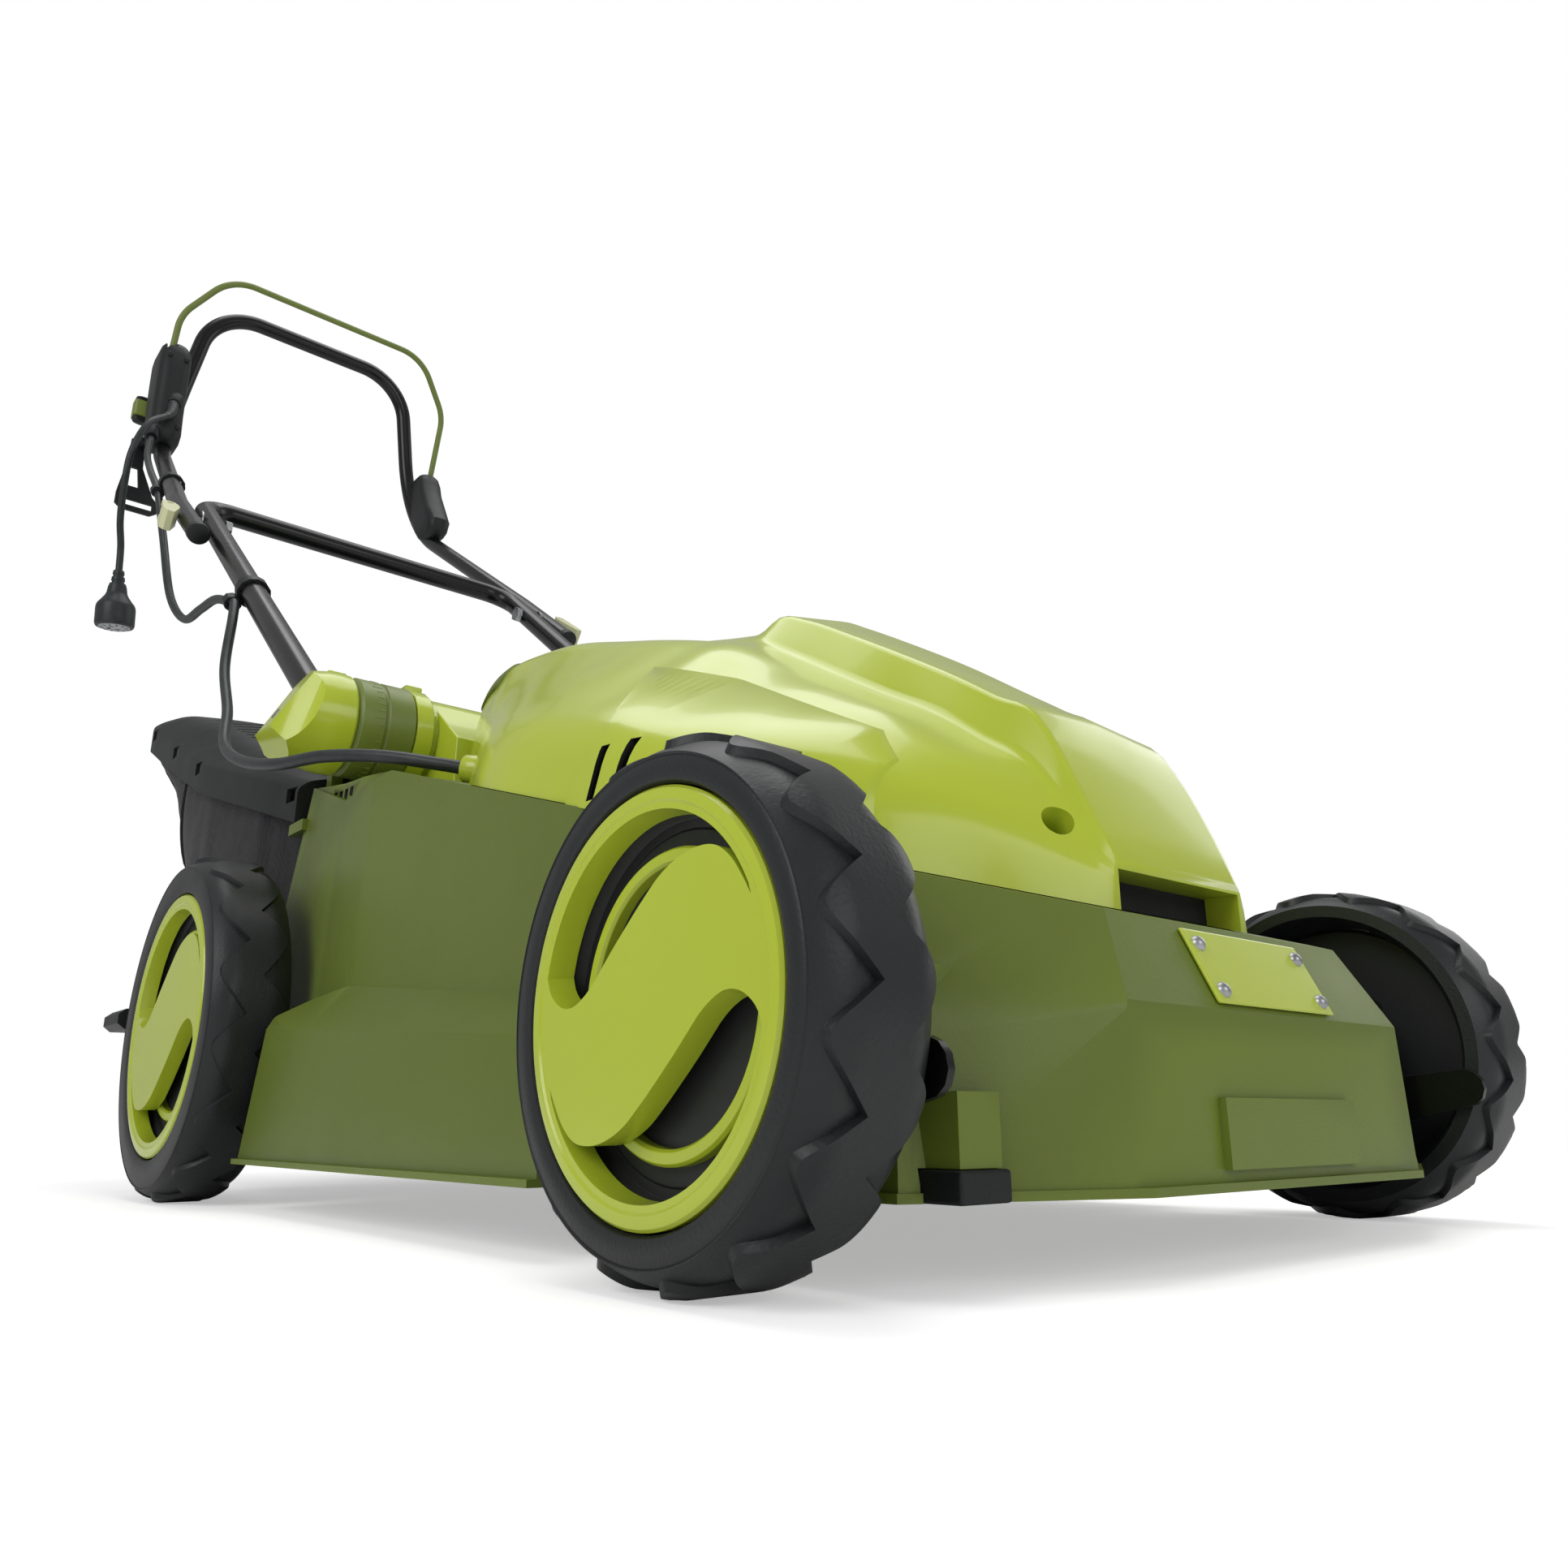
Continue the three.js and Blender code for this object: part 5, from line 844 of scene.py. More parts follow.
# half of the hood: where each station lies, the x and z of the top's five points, and the half width at the seam
HOOD = [
    [-42, 0, 151, 44, 150, 47, 147, 48, 143, 49, 139, 50],
    [-37, 0, 164, 47, 162, 51, 154, 53, 148, 56, 144, 59],
    [-10, 0, 220, 49, 217, 55, 194, 76, 183, 94, 166, 98],
    [10, 0, 235, 50, 231, 58, 208, 90, 200, 124, 176, 132],
    [33, 0, 251, 50, 247, 60, 225, 98, 217, 152, 187, 160],
    [66, 0, 274, 50, 268, 61, 244, 101, 238, 170, 198, 176],
    [102, 0, 297, 49, 290, 62, 266, 102, 258, 180, 209, 186],
    [140, 0, 320, 49, 312, 62, 289, 103, 284, 182, 221, 187],
    [160, 0, 331, 49, 320, 62, 301, 103, 291, 182, 227, 188],
    [176, 0, 335, 48, 316, 64, 304, 103, 298, 182, 231, 188],
    [205, 0, 341, 49, 320, 70, 312, 102, 308, 181, 239, 188],
    [247, 0, 349, 50, 332, 73, 326, 101, 320, 174, 250, 182],
    [300, 0, 355, 54, 346, 78, 340, 101, 335, 153, 268, 161],
    [345, 0, 353, 56, 350, 80, 346, 101, 342, 133, 285, 139],
    [376, 0, 350, 57, 349, 80, 347, 100, 345, 120, 300, 125],
    [425, 0, 337, 57, 336, 80, 334, 97, 327, 103, 298, 105],
    [441, 0, 312, 57, 311, 80, 309, 93, 300, 96, 283, 98],
]
# the joint between deck and hood rises from the nose and is level at the back
SEAM = {"z": 141, "slope": 0.306, "level_from": 345}
VENTS = (102, 119)
# the raised field's outline seen from the side, as y and z
PANEL = [(148, 172), (123, 217), (146, 250), (157, 268), (104, 249), (26, 207), (13, 190), (8, 140), (60, 144)]
# the deck's ledge beside the hood's tail: its first station and their spacing, and its outer edge, which leans in
SHOULDER = {"from": 212, "step": 8, "count": 23, "wall": 187.5, "turn": 300, "lean": 0.06}
# the screw in each scoop beside the nose: where it stands and which way it points, on the left side
NOSE_SCREW = ((62, -30, 168), (-0.35, 0.75, -0.5))


def seam_z(y):
    """Height of the joint between deck and hood."""
    return SEAM["z"] + SEAM["slope"] * min(y, SEAM["level_from"])


class MOWER_OT_hood(MowerOperator):
    """The glossy hood with its side panels, vents, intake and cable boss, its dark pads and the deck's ledges"""

    bl_idname = "mower.hood"
    bl_label = "Hood"

    def make(self, sizes, colours):
        hood = self.skin("hood", 0, ["lime", "painted_shade"])
        for _label, side in SIDES:
            for y in VENTS:
                self.vent(hood, y, side)
        self.intake(hood)
        for label, side in SIDES:
            self.screw(hood, label, side)
        ease(hood, 0.9, 3, 38)
        dress(hood, "lime", "hood_shell")
        for label, side in SIDES:
            self.panel(label, side)
        self.boss()
        for label, side in SIDES:
            self.pad(label, side)
        for label, side in SIDES:
            self.shoulder(label, side)

    def skin(self, name, grow, finishes):
        """A closed body whose top is the hood's skin, moved out by grow."""
        mould, rings = Mould(), []
        stations = []
        for (a, *_), (b, *_) in zip(HOOD, HOOD[1:]):
            count = max(1, round((b - a) / 5))
            stations += [a + (b - a) * i / count for i in range(count)]
        stations.append(HOOD[-1][0])
        for y in stations:
            *top, half = between(HOOD, y)
            corners = [(top[i], top[i + 1]) for i in range(0, 10, 2)]
            share = min(1.0, max(0.0, (y + 10) / 110))
            corners.append((half, seam_z(y) + 0.4 - grow))
            radii = [3, 5, 8 + 10 * share, 10 + 22 * share]
            line = rounded(corners, radii, 6)
            if grow:
                line = [(x + grow * min(1, x / 60), z + grow * 0.6) for x, z in line]
            ring = [(x, y, z) for x, z in line]
            ring += [(-x, y, z) for x, z in reversed(line[1:])]
            rings.append(ring)
        mould.skin(rings)
        return mould.turn_out(name, finishes, smooth=38)

    def vent(self, hood, y, side):
        """A leaning slot through the side, its walls painted near black as shade."""
        cutter = Mould()
        cutter.slab([(y, 182), (y + 5.5, 182), (y + 1.5, 207), (y - 4, 207)], "x", side * 160, side * 205, mark=1)
        cut(hood, cutter, "lime", "painted_shade")

    def intake(self, hood):
        """The air intake under the nose, its back wall painted near black as shade."""
        cutter = Mould()
        cutter.box((-45, -70, 100), (45, -26, 145))
        opening = cutter.turn_out("cutter", ["lime", "painted_shade"])
        # the back wall takes the painted shade finish
        for polygon in opening.data.polygons:
            if polygon.normal.y > 0.9:
                polygon.material_index = 1
        carve(hood, opening)

    def screw(self, hood, label, side):
        """The countersunk screw in the scoop beside the nose."""
        (x, *at), (lean, *way) = NOSE_SCREW
        at, way = (side * x, *at), (side * lean, *way)
        cutter = Mould()
        cutter.turned([(0, -12), (7, -12), (7, 17), (0, 17)], at, way, 32)
        cut(hood, cutter, "lime")
        mould = Mould()
        mould.turned([(0, 14), (3.6, 14.2), (4.6, 15.4), (4.6, 22), (0, 22)], at, way, 24)
        mould.dressed(f"nose_screw_{label}", "lime", 40, body="deck")

    def panel(self, label, side):
        """The raised field on each side, which takes the vents too."""
        panel = self.skin(f"side_panel_{label}", 1.8, ["lime", "painted_shade"])
        keep = Mould()
        keep.slab(PANEL, "x", side * 100, side * 240)
        carve(panel, keep.turn_out("keep", ["lime", "painted_shade"]), "INTERSECT")
        for y in VENTS:
            self.vent(panel, y, side)
        ease(panel, 0.8, 3, 38)
        dress(panel, "lime", f"hood_{label}_panel")

    def boss(self):
        """The socket where the cable goes in."""
        mould = Mould()
        entry, way = Vector(LOWER_CABLE[-1]), Vector(LOWER_CABLE[-1]) - Vector(LOWER_CABLE[-2])
        mould.turned([(4.3, -3), (7.2, -3), (8.2, -1.6), (9.2, 8), (9.6, 30), (4.3, 30)], entry, way, 40, ends=False)
        mould.dressed("cable_boss", "lime", 35, bevel=0.5, body="deck")

    def pad(self, label, side):
        """The dark pad set on the hood's rear top corner."""
        piece = self.skin(f"hood_pad_{label}", 1.2, ["dark_olive"])
        keep = Mould()
        keep.slab([(371, 380), (446, 380), (446, 322), (420, 326), (384, 330), (375, 340)], "x", side * 78, side * 160)
        carve(piece, keep.turn_out("keep", ["dark_olive"]), "INTERSECT")
        dress(piece, "dark_olive", body="deck")

    def shoulder(self, label, side):
        """The deck's ledge between its side wall and the narrower tail of the hood."""
        mould, rings = Mould(), []
        for i in range(SHOULDER["count"]):
            y = SHOULDER["from"] + i * SHOULDER["step"]
            inner = side * (between(HOOD, y)[-1] - 12)
            outer = SHOULDER["wall"] - max(0.0, y - SHOULDER["turn"]) * SHOULDER["lean"]
            top = seam_z(y) - 0.6
            rings.append([(inner, y, top - 5), (side * outer, y, top - 5), (side * outer, y, top - 2),
                          (side * (outer - 2), y, top - 0.4), (inner, y, top + 2.5)])
        mould.skin(rings)
        mould.dressed(f"deck_ledge_{label}", "olive", 40, bevel=0.6, body="deck")


class MOWER_OT_motor(MowerOperator):
    """Motor can, rotor and blade, seen from below"""

    bl_idname = "mower.motor"
    bl_label = "Motor and blade"

    def make(self, sizes, colours):
        for node, finish in (("motor_can", "black"), ("motor_rotor", "steel"), ("blade_carrier", "black"),
                             ("cutting_blade", "steel"), ("blade_bolt", "steel")):
            from_frame(node, finish, 0.6, smooth=35)


# the handle's foot turns about this point; then the lower and the upper tube, with their angles in degrees
PIVOT = Vector((0, 508, 321))
LEG = {"half": 180, "radius": 11, "rise": 9, "start": 24, "crossbar": 965, "bend": 32, "angle": 37.6}
TOP = {"half": 203.8, "radius": 10, "angle": 35.5, "overlap": 72, "knee": 962}


def leaning(angle):
    """The direction that rises backwards at an angle in degrees."""
    return Vector((0, math.cos(math.radians(angle)), math.sin(math.radians(angle))))


def leg_point(x, along):
    """A point of the lower tube's plane, from how far along it lies."""
    way = leaning(LEG["angle"])
    up = Vector((0, -way.z, way.y))
    return PIVOT + up * LEG["rise"] + way * along + Vector((x, 0, 0))


def leg_along(y):
    """How far along the lower tube a y lies."""
    return (y - leg_point(0, 0).y) / leaning(LEG["angle"]).y


CLAMP = leg_point(0, leg_along(905))  # where the tubes are bolted together


def grip_path():
    """The upper tube's centreline."""
    way = leaning(TOP["angle"])

    def on(x, y):
        """A point of the upper tube's plane."""
        return Vector((x, y, CLAMP.z + (y - CLAMP.y) / way.y * way.z))

    start = on(TOP["half"], CLAMP.y - TOP["overlap"] * way.y)
    half = [start, on(TOP["half"], TOP["knee"]), on(174, 1298), Vector((134, 1276, 1142))]
    mirrored = [Vector((-p.x, p.y, p.z)) for p in half]
    return fillet(mirrored + half[::-1], [120, 180, 72, 72, 180, 120])


class MOWER_OT_handle(MowerOperator):
    """Pivots, both tube frames, clamps and clips"""

    bl_idname = "mower.handle"
    bl_label = "Handle"

    def make(self, sizes, colours):
        for label, side in SIDES:
            self.pivot(label, side)
        mould = Mould()
        far = leg_along(LEG["crossbar"])
        path = fillet([leg_point(-LEG["half"], LEG["start"]), leg_point(-LEG["half"], far),
                       leg_point(LEG["half"], far), leg_point(LEG["half"], LEG["start"])], [LEG["bend"]] * 2)
        mould.tube(path, LEG["radius"], 40)
        mould.dressed("lower_tube", "tube", 50, "lower_handle")
        mould = Mould()
        mould.tube(grip_path(), TOP["radius"], 40)
        mould.dressed("upper_tube", "tube", 50, "upper_handle")
        for label, _side in SIDES:
            from_frame(f"clamp_{label}_bolt", "steel", 0.5, smooth=40)
            from_frame(f"clamp_{label}_lever", "pale_olive", 2.0, smooth=30, loops=4)
        for node in ("cable_clip_upper", "cable_clip_lower"):
            from_frame(node, "black", 0.8, smooth=40)

    def pivot(self, label, side):
        """The lime neck, the dark band with its ticks, the cap, and the screw in it."""
        from_frame(f"handle_{label}_neck", "lime", 1.2, smooth=30, name=f"pivot_neck_{label}")
        mould = Mould()
        profile = [(14.4, 123.4), (34.6, 123.4), (36, 124.6), (36, 142.8), (35, 143.8), (35, 145.2), (36, 146.2),
                   (36, 161.6), (33.4, 164.6), (14.4, 164.6)]
        steps = 96
        mould.turned(profile, PIVOT, (side, 0, 0), steps, ends=False)
        mould.skin([mould.points[-steps:], mould.points[:steps]], ends=False)
        for i in range(40):
            # a row of raised ticks shows the handle's angle
            turn = math.radians(i * 9)
            out = Vector((0, math.cos(turn), math.sin(turn)))
            at = PIVOT + Vector((side * 147, 0, 0)) + out * 35.8
            mould.tube([at, at + Vector((side * (4.5 if i % 5 else 7), 0, 0))], 0.55, 6)
        mould.dressed(f"pivot_band_{label}", "dark_olive", 35, f"handle_{label}_pivot_ring")
        self.cap(label, side)
        mould = Mould()
        mould.turned([(0, 0.9), (3.4, 0.8), (4.4, 0.2), (4.4, -3), (0, -3)], PIVOT + Vector((side * 209.5, 0, -0.5)),
                     (side * 56, 0, 31), 32)
        mould.dressed(f"pivot_screw_{label}", "steel", 45, body="lower_handle_frame")

    def cap(self, label, side):
        """The knob that closes the pivot: a round foot, and a grip with an oblique end and a hollow on each flank."""
        mould = Mould()
        mould.turned([(0, 165.2), (34.6, 165.2), (36.2, 167), (36.6, 176), (35.8, 183), (34.4, 190), (33, 217.4),
                      (0, 217.4)], PIVOT, (side, 0, 0), 96)
        cap = mould.turn_out(f"pivot_cap_{label}", ["lime"], 30)
        for outline in ([(186, 42), (262, 42), (262, -14), (217, -14)],
                        [(217.5, -14), (262, -14), (262, -60), (192, -60), (196, -38)]):
            cutter = Mould()
            cutter.slab([(side * x, PIVOT.z + z) for x, z in outline], "y", PIVOT.y - 60, PIVOT.y + 60)
            cut(cap, cutter, "lime")
        for way in (-1, 1):
            cutter = Mould()
            lean = Vector((side * 8, 0, -30))
            middle = PIVOT + Vector((side * 226, way * 50, 0))
            cutter.turned([(0, -60), (38, -60), (36, 60), (0, 60)], middle, lean, 64)
            cut(cap, cutter, "lime")
        ease(cap, 2.2, 4, 28)
        dress(cap, "lime", f"handle_{label}_cap")
        mould = Mould()
        top = PIVOT + Vector((side * 172, 0, 35))
        mould.slab([(top.y - 7, top.z - 2), (top.y - 5, top.z + 3.4), (top.y + 5, top.z + 3.4), (top.y + 7, top.z - 2)],
                   "x", side * 166, side * 179)
        mould.dressed(f"pivot_stop_{label}", "lime", 30, bevel=1.2, body="lower_handle_frame")


# the bail's pin, its wire, and the room that its legs swing in
BAIL = {"x": 186, "y": 1266, "z": 975, "radius": 4, "room": 6, "top": 1120}
# the switch box's two sides, and the height of its lock button's middle
CASE = (-197.5, -160)
BUTTON_Z = 972


class MOWER_OT_controls(MowerOperator):
    """Switch box with its lock button, bail, bracket, cord hook and the tube's end plugs"""

    bl_idname = "mower.controls"
    bl_label = "Controls"

    def make(self, sizes, colours):
        self.switch_box()
        self.bail_bracket()
        self.lock_button()
        from_frame("cord_hook", "black", 1.2, smooth=30)
        x, y, z = BAIL["x"], BAIL["y"], BAIL["z"]
        half = [Vector(p) for p in ((x - 14, y, z), (x, y, z), (x - 2, 1229, 1080), (134, 1204, 1147))]
        path = fillet([Vector((-p.x, p.y, p.z)) for p in half] + half[::-1], [6, 60, 60, 60, 60, 6])
        mould = Mould()
        mould.tube(path, BAIL["radius"], 24)
        mould.dressed("bail", "dark_olive", 50, "bail_rod")
        for label, side in SIDES:
            # a black end plug in each leg of the upper tube
            end, way = grip_path()[0 if side < 0 else -1], -leaning(TOP["angle"])
            mould = Mould()
            mould.turned([(0, 1.6), (9, 1.4), (10.4, 0.2), (10.6, -1.4), (10.6, -9), (10.2, -9.8), (0, -9.8)], end,
                         way, 40)
            mould.dressed(f"upper_tube_end_{label}", "black", 40, body="upper_handle_frame")

    def slot(self, piece, side):
        """The narrow room in which the bail swings, its walls painted near black as shade."""
        x, y, z, room, top = BAIL["x"], BAIL["y"], BAIL["z"], BAIL["room"], BAIL["top"]
        cutter = Mould()
        cutter.slab([(y - 6, z - 7), (y + 6, z - 7), (y + 7, z + 20), (y + 12, top), (y - 64, top), (y - 14, z + 20)],
                    "x", side * (x - room), side * (x + room), mark=1)
        cut(piece, cutter, "black", "painted_shade")

    def switch_box(self):
        """The switch's case, with the bail's slot, the button's pocket, screws, and a sleeve for each cord."""
        stations = [(891, 7, 1240, 1272), (893.5, 3, 1233, 1277), (899, 1, 1228, 1281), (910, 0, 1226, 1284),
                    (940, 0, 1231, 1294), (962, 0, 1232, 1300), (1000, 0, 1232, 1304), (1026, 0, 1233, 1305),
                    (1036, 1, 1235, 1303), (1042, 4, 1239, 1299), (1045, 9, 1245, 1293)]
        mould = Mould()
        mould.column([(z, CASE[0] + inset, CASE[1] - inset, y0, y1) for z, inset, y0, y1 in stations], 15, 7)
        box = mould.turn_out("switch_case", ["black", "painted_shade"], 45)
        self.slot(box, -1)
        pocket = Mould()
        pocket.box((-194.5, 1282, 953), (-163, 1330, 991))
        cut(box, pocket, "black", "painted_shade")
        ease(box, 1.0, 2, 40)
        dress(box, "black", "switch_box")
        mould = Mould()
        # four screws, then a sleeve for each cord
        for x, z in ((-188, 1020), (-167, 1020), (-188, 915), (-167, 915)):
            y = 1233 if z > 1000 else 1227
            mould.turned([(0, 1.4), (2.6, 1.2), (3.6, 0.2), (3.6, -4), (0, -4)], (x, y, z), (0, -1, 0), 20)
        pigtail_sleeve = [(5, 0), (8.2, 0), (9.4, -1.6), (9.8, -6), (10.6, -8), (11, -22), (5, -22)]
        cable_sleeve = [(5, 0), (7, 0), (8, -1.4), (8.4, -20), (5, -20)]
        for route, out, profile in ((PIGTAIL, 3, pigtail_sleeve), (UPPER_CABLE, 8, cable_sleeve)):
            start, way = Vector(route[0]), (Vector(route[1]) - Vector(route[0])).normalized()
            mould.turned(profile, start + way * out, way, 32, ends=False)
        mould.dressed("switch_fittings", "black", 40, body="upper_handle_frame")

    def bail_bracket(self):
        """The pod that holds the bail's other leg."""
        mould = Mould()
        mould.column([(866, 172, 188, 1203, 1230), (869, 168, 192, 1197, 1238), (876, 165, 195, 1191, 1248),
                      (890, 163, 197, 1189, 1259), (915, 163, 198, 1206, 1273), (950, 163, 198, 1228, 1290),
                      (970, 163, 198, 1236, 1293), (981, 164.5, 196.5, 1241, 1291), (986, 168, 193, 1246, 1286),
                      (988, 173, 188, 1252, 1280)], 15, 7)
        pod = mould.turn_out("bail_pod", ["black", "painted_shade"], 45)
        self.slot(pod, 1)
        ease(pod, 1.0, 2, 40)
        dress(pod, "black", "bail_bracket")

    def lock_button(self):
        """A black head on a stem that slides into its pocket, with an olive face."""
        head = [(953, -203, -172, 1311, 1321), (954.6, -206, -170, 1309.5, 1323), (958, -207, -169.4, 1309.5, 1325)]
        stem = [(955.5, -190, -167.5, 1291, 1312), (957, -192.5, -165, 1289.5, 1313)]
        face = [(959, -205.6, -172, 1321, 1326.6), (961, -207.8, -171, 1307, 1327.6)]
        mould = Mould()
        mould.column(self.both_ends(head), 5, 6)
        mould.column(self.both_ends(stem), 4, 5)
        mould.dressed("button_body", "black", 40, "lock_button")
        mould = Mould()
        mould.column(self.both_ends(face), 4, 5)
        mould.dressed("button_face", "dark_olive", 40, body=BODY["lock_button"])

    def both_ends(self, stations):
        """The lower end's stations, and the same ones upside down for the upper end."""
        return stations + [(2 * BUTTON_Z - z, *rest) for z, *rest in reversed(stations)]


# ---------------------------------------------------------------- cords, from the end that leaves its piece
PIGTAIL = [(-175, 1235, 951), (-180, 1219, 926), (-206, 1197, 890), (-219, 1197, 845), (-219, 1208, 800),
           (-214, 1228, 765), (-207, 1241, 738), (-204, 1245, 707)]
UPPER_CABLE = [(-195, 1229, 895.4), (-197, 1219, 878), (-204, 1180, 838), (-208, 1120, 788), (-208, 1057, 733),
               (-206, 1000, 655), (-202, 935, 560), (-198, 880, 520), (-198, 820, 510), (-198, 770, 502),
               (-196, 722, 483)]
LOWER_CABLE = [(-195.9, 721.2, 482.7), (-196, 713, 479.2), (-199, 699, 460), (-207, 670, 405), (-213, 620, 352),
               (-224, 570, 310), (-227, 512, 284), (-222, 450, 268), (-209, 400, 264), (-188, 362, 259),
               (-166, 335, 252.5), (-152, 322, 249)]
# the cables that cross a fold of the handle: both bodies, and where the bend starts and ends; only the names are used
# here, to leave these cables unattached to any body
CROSSING = {"cable_upper": ("upper_handle_frame", "lower_handle_frame", (-207, 1035, 705), (-198, 760, 500)),
            "cable_lower": ("deck", "lower_handle_frame", (-222, 460, 270), (-198, 700, 462))}


class MOWER_OT_cords(MowerOperator):
    """The pigtail with its plug, and the cable from the switch to the motor"""

    bl_idname = "mower.cords"
    bl_label = "Cords"

    def make(self, sizes, colours):
        radius = sizes.cable / 2 / MM
        plug = self.plug()
        relief = self.relief(radius)
        for name, route, count, node in (("pigtail", PIGTAIL, 36, "pigtail_cord"),
                                         ("cable_upper", UPPER_CABLE, 40, "motor_cable_upper"),
                                         ("cable_lower", LOWER_CABLE, 40, "motor_cable_lower")):
            path = flowing(route, count)
            mould = Mould()
            mould.tube(flowing(route, 4 * count), radius, 20)
            piece = mould.turn_out(name, ["cord"], 60)
            if name in CROSSING:
                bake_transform(piece)
                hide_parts(node)
            else:
                dress(piece, "cord", node)

    def relief(self, radius):
        """A ribbed strain relief, tapering along the first of the pigtail."""
        path = flowing(PIGTAIL, 160)[:26]
        mould = Mould()
        radii = []
        for i, _point in enumerate(path):
            groove = 0.8 if 3 < i < 24 and i % 4 == 0 else 0
            radii.append(radius + 0.25 + 2.9 * (1 - i / (len(path) - 1)) - groove)
        mould.tube(path, radii, 24)
        return mould.dressed("pigtail_relief", "cord", 50, body="upper_handle_frame")

    def plug(self):
        """The end of the pigtail: stepped relief, ribbed round body, and a pale face with notches and pin holes, whose
        walls are painted near black as shade.
        """
        path = flowing(PIGTAIL, 36)
        end, way = path[-1], (path[-1] - path[-2]).normalized()
        side = way.orthogonal().normalized()
        other = way.cross(side)
        profile = [(0, 0.3), (5.6, 0.3), (6.2, 1.4), (6.6, 5), (5.8, 6), (5.8, 8), (7.2, 9), (7.6, 13), (6.8, 14),
                   (6.8, 16), (9, 17.4), (10.4, 22), (11.4, 29), (13, 33), (17.2, 39.2), (20.4, 43.4), (21.6, 46.4),
                   (22, 50), (22, 68), (21.4, 70.6), (20.4, 72), (19.4, 72.4), (18.2, 72.2), (18, 71.6), (18, 66),
                   (0, 66)]
        mould = Mould()
        mould.turned(profile, end, way, 72)
        for i in range(24):
            # grip ribs round the body
            turn = 2 * math.pi * i / 24
            foot = end + way * 50 + (side * math.cos(turn) + other * math.sin(turn)) * 20.6
            mould.tube([foot, foot + way * 16], 1.1, 8)
        body = mould.dressed("plug_body", "cord", 38, "pigtail_plug")
        mould = Mould()
        mould.turned([(0, 65.8), (17.6, 65.8), (17.6, 72.4), (16.6, 73.4), (0, 73.4)], end, way, 48)
        face = mould.turn_out("plug_socket", ["plug_face", "painted_shade"], 38)
        for u, v, wide, tall in ((-6.4, 0, 2.2, 7), (6.4, 0, 2.2, 7), (0, 7, 4.6, 4.6)):
            # the pin holes, their walls painted near black as shade
            middle = end + way * 66.5 + side * u + other * v
            ring = [middle + side * (a * wide / 2) + other * (b * tall / 2)
                    for a, b in ((-1, -1), (1, -1), (1, 1), (-1, 1))]
            cutter = Mould()
            cutter.skin([ring, [p + way * 8 for p in ring]], mark=1)
            cut(face, cutter, "plug_face", "painted_shade")
        ribs = Mould()
        for i in range(12):
            # shallow notches round the face, their walls painted near black as shade
            turn = 2 * math.pi * (i + 0.5) / 12
            out = side * math.cos(turn) + other * math.sin(turn)
            across = way.cross(out)
            foot = end + way * 72.2 + out * 11.5
            ring = [foot - across * 0.8, foot + across * 0.8, foot + across * 1.3 + out * 4.6,
                    foot - across * 1.3 + out * 4.6]
            ribs.skin([ring, [p + way * 4 for p in ring]], mark=1)
        cut(face, ribs, "plug_face", "painted_shade")
        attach(face, "upper_handle_frame")
        face.parent = body
        face.matrix_parent_inverse = body.matrix_world.inverted()
        return body


# the lid's slots: how many, the first one's y and their spacing, which the slats under them follow
LOUVRES = {"count": 12, "from": 922, "step": 17}
# where the notches in the lid's rim are
NOTCHES = (568, 776, 868, 972)
# the lid's stations: y, the z of the rim's lower edge, half width, and the dome's height
LID = [[557, 258, 174, 4], [650, 287, 184, 14], [758, 319, 192, 24], [880, 368, 192, 26], [985, 412, 190, 14],
       [1010, 423, 176, 0]]
# the cloth's stations: y, then y and z at the bottom, y at the top, and half width at the bottom
CLOTH = [[0, 603, 82, 557, 150], [1, 700, 84, 650, 156], [2, 780, 92, 758, 158], [3, 845, 250, 848, 168],
         [4, 900, 338, 902, 172], [5, 985, 402, 986, 172]]


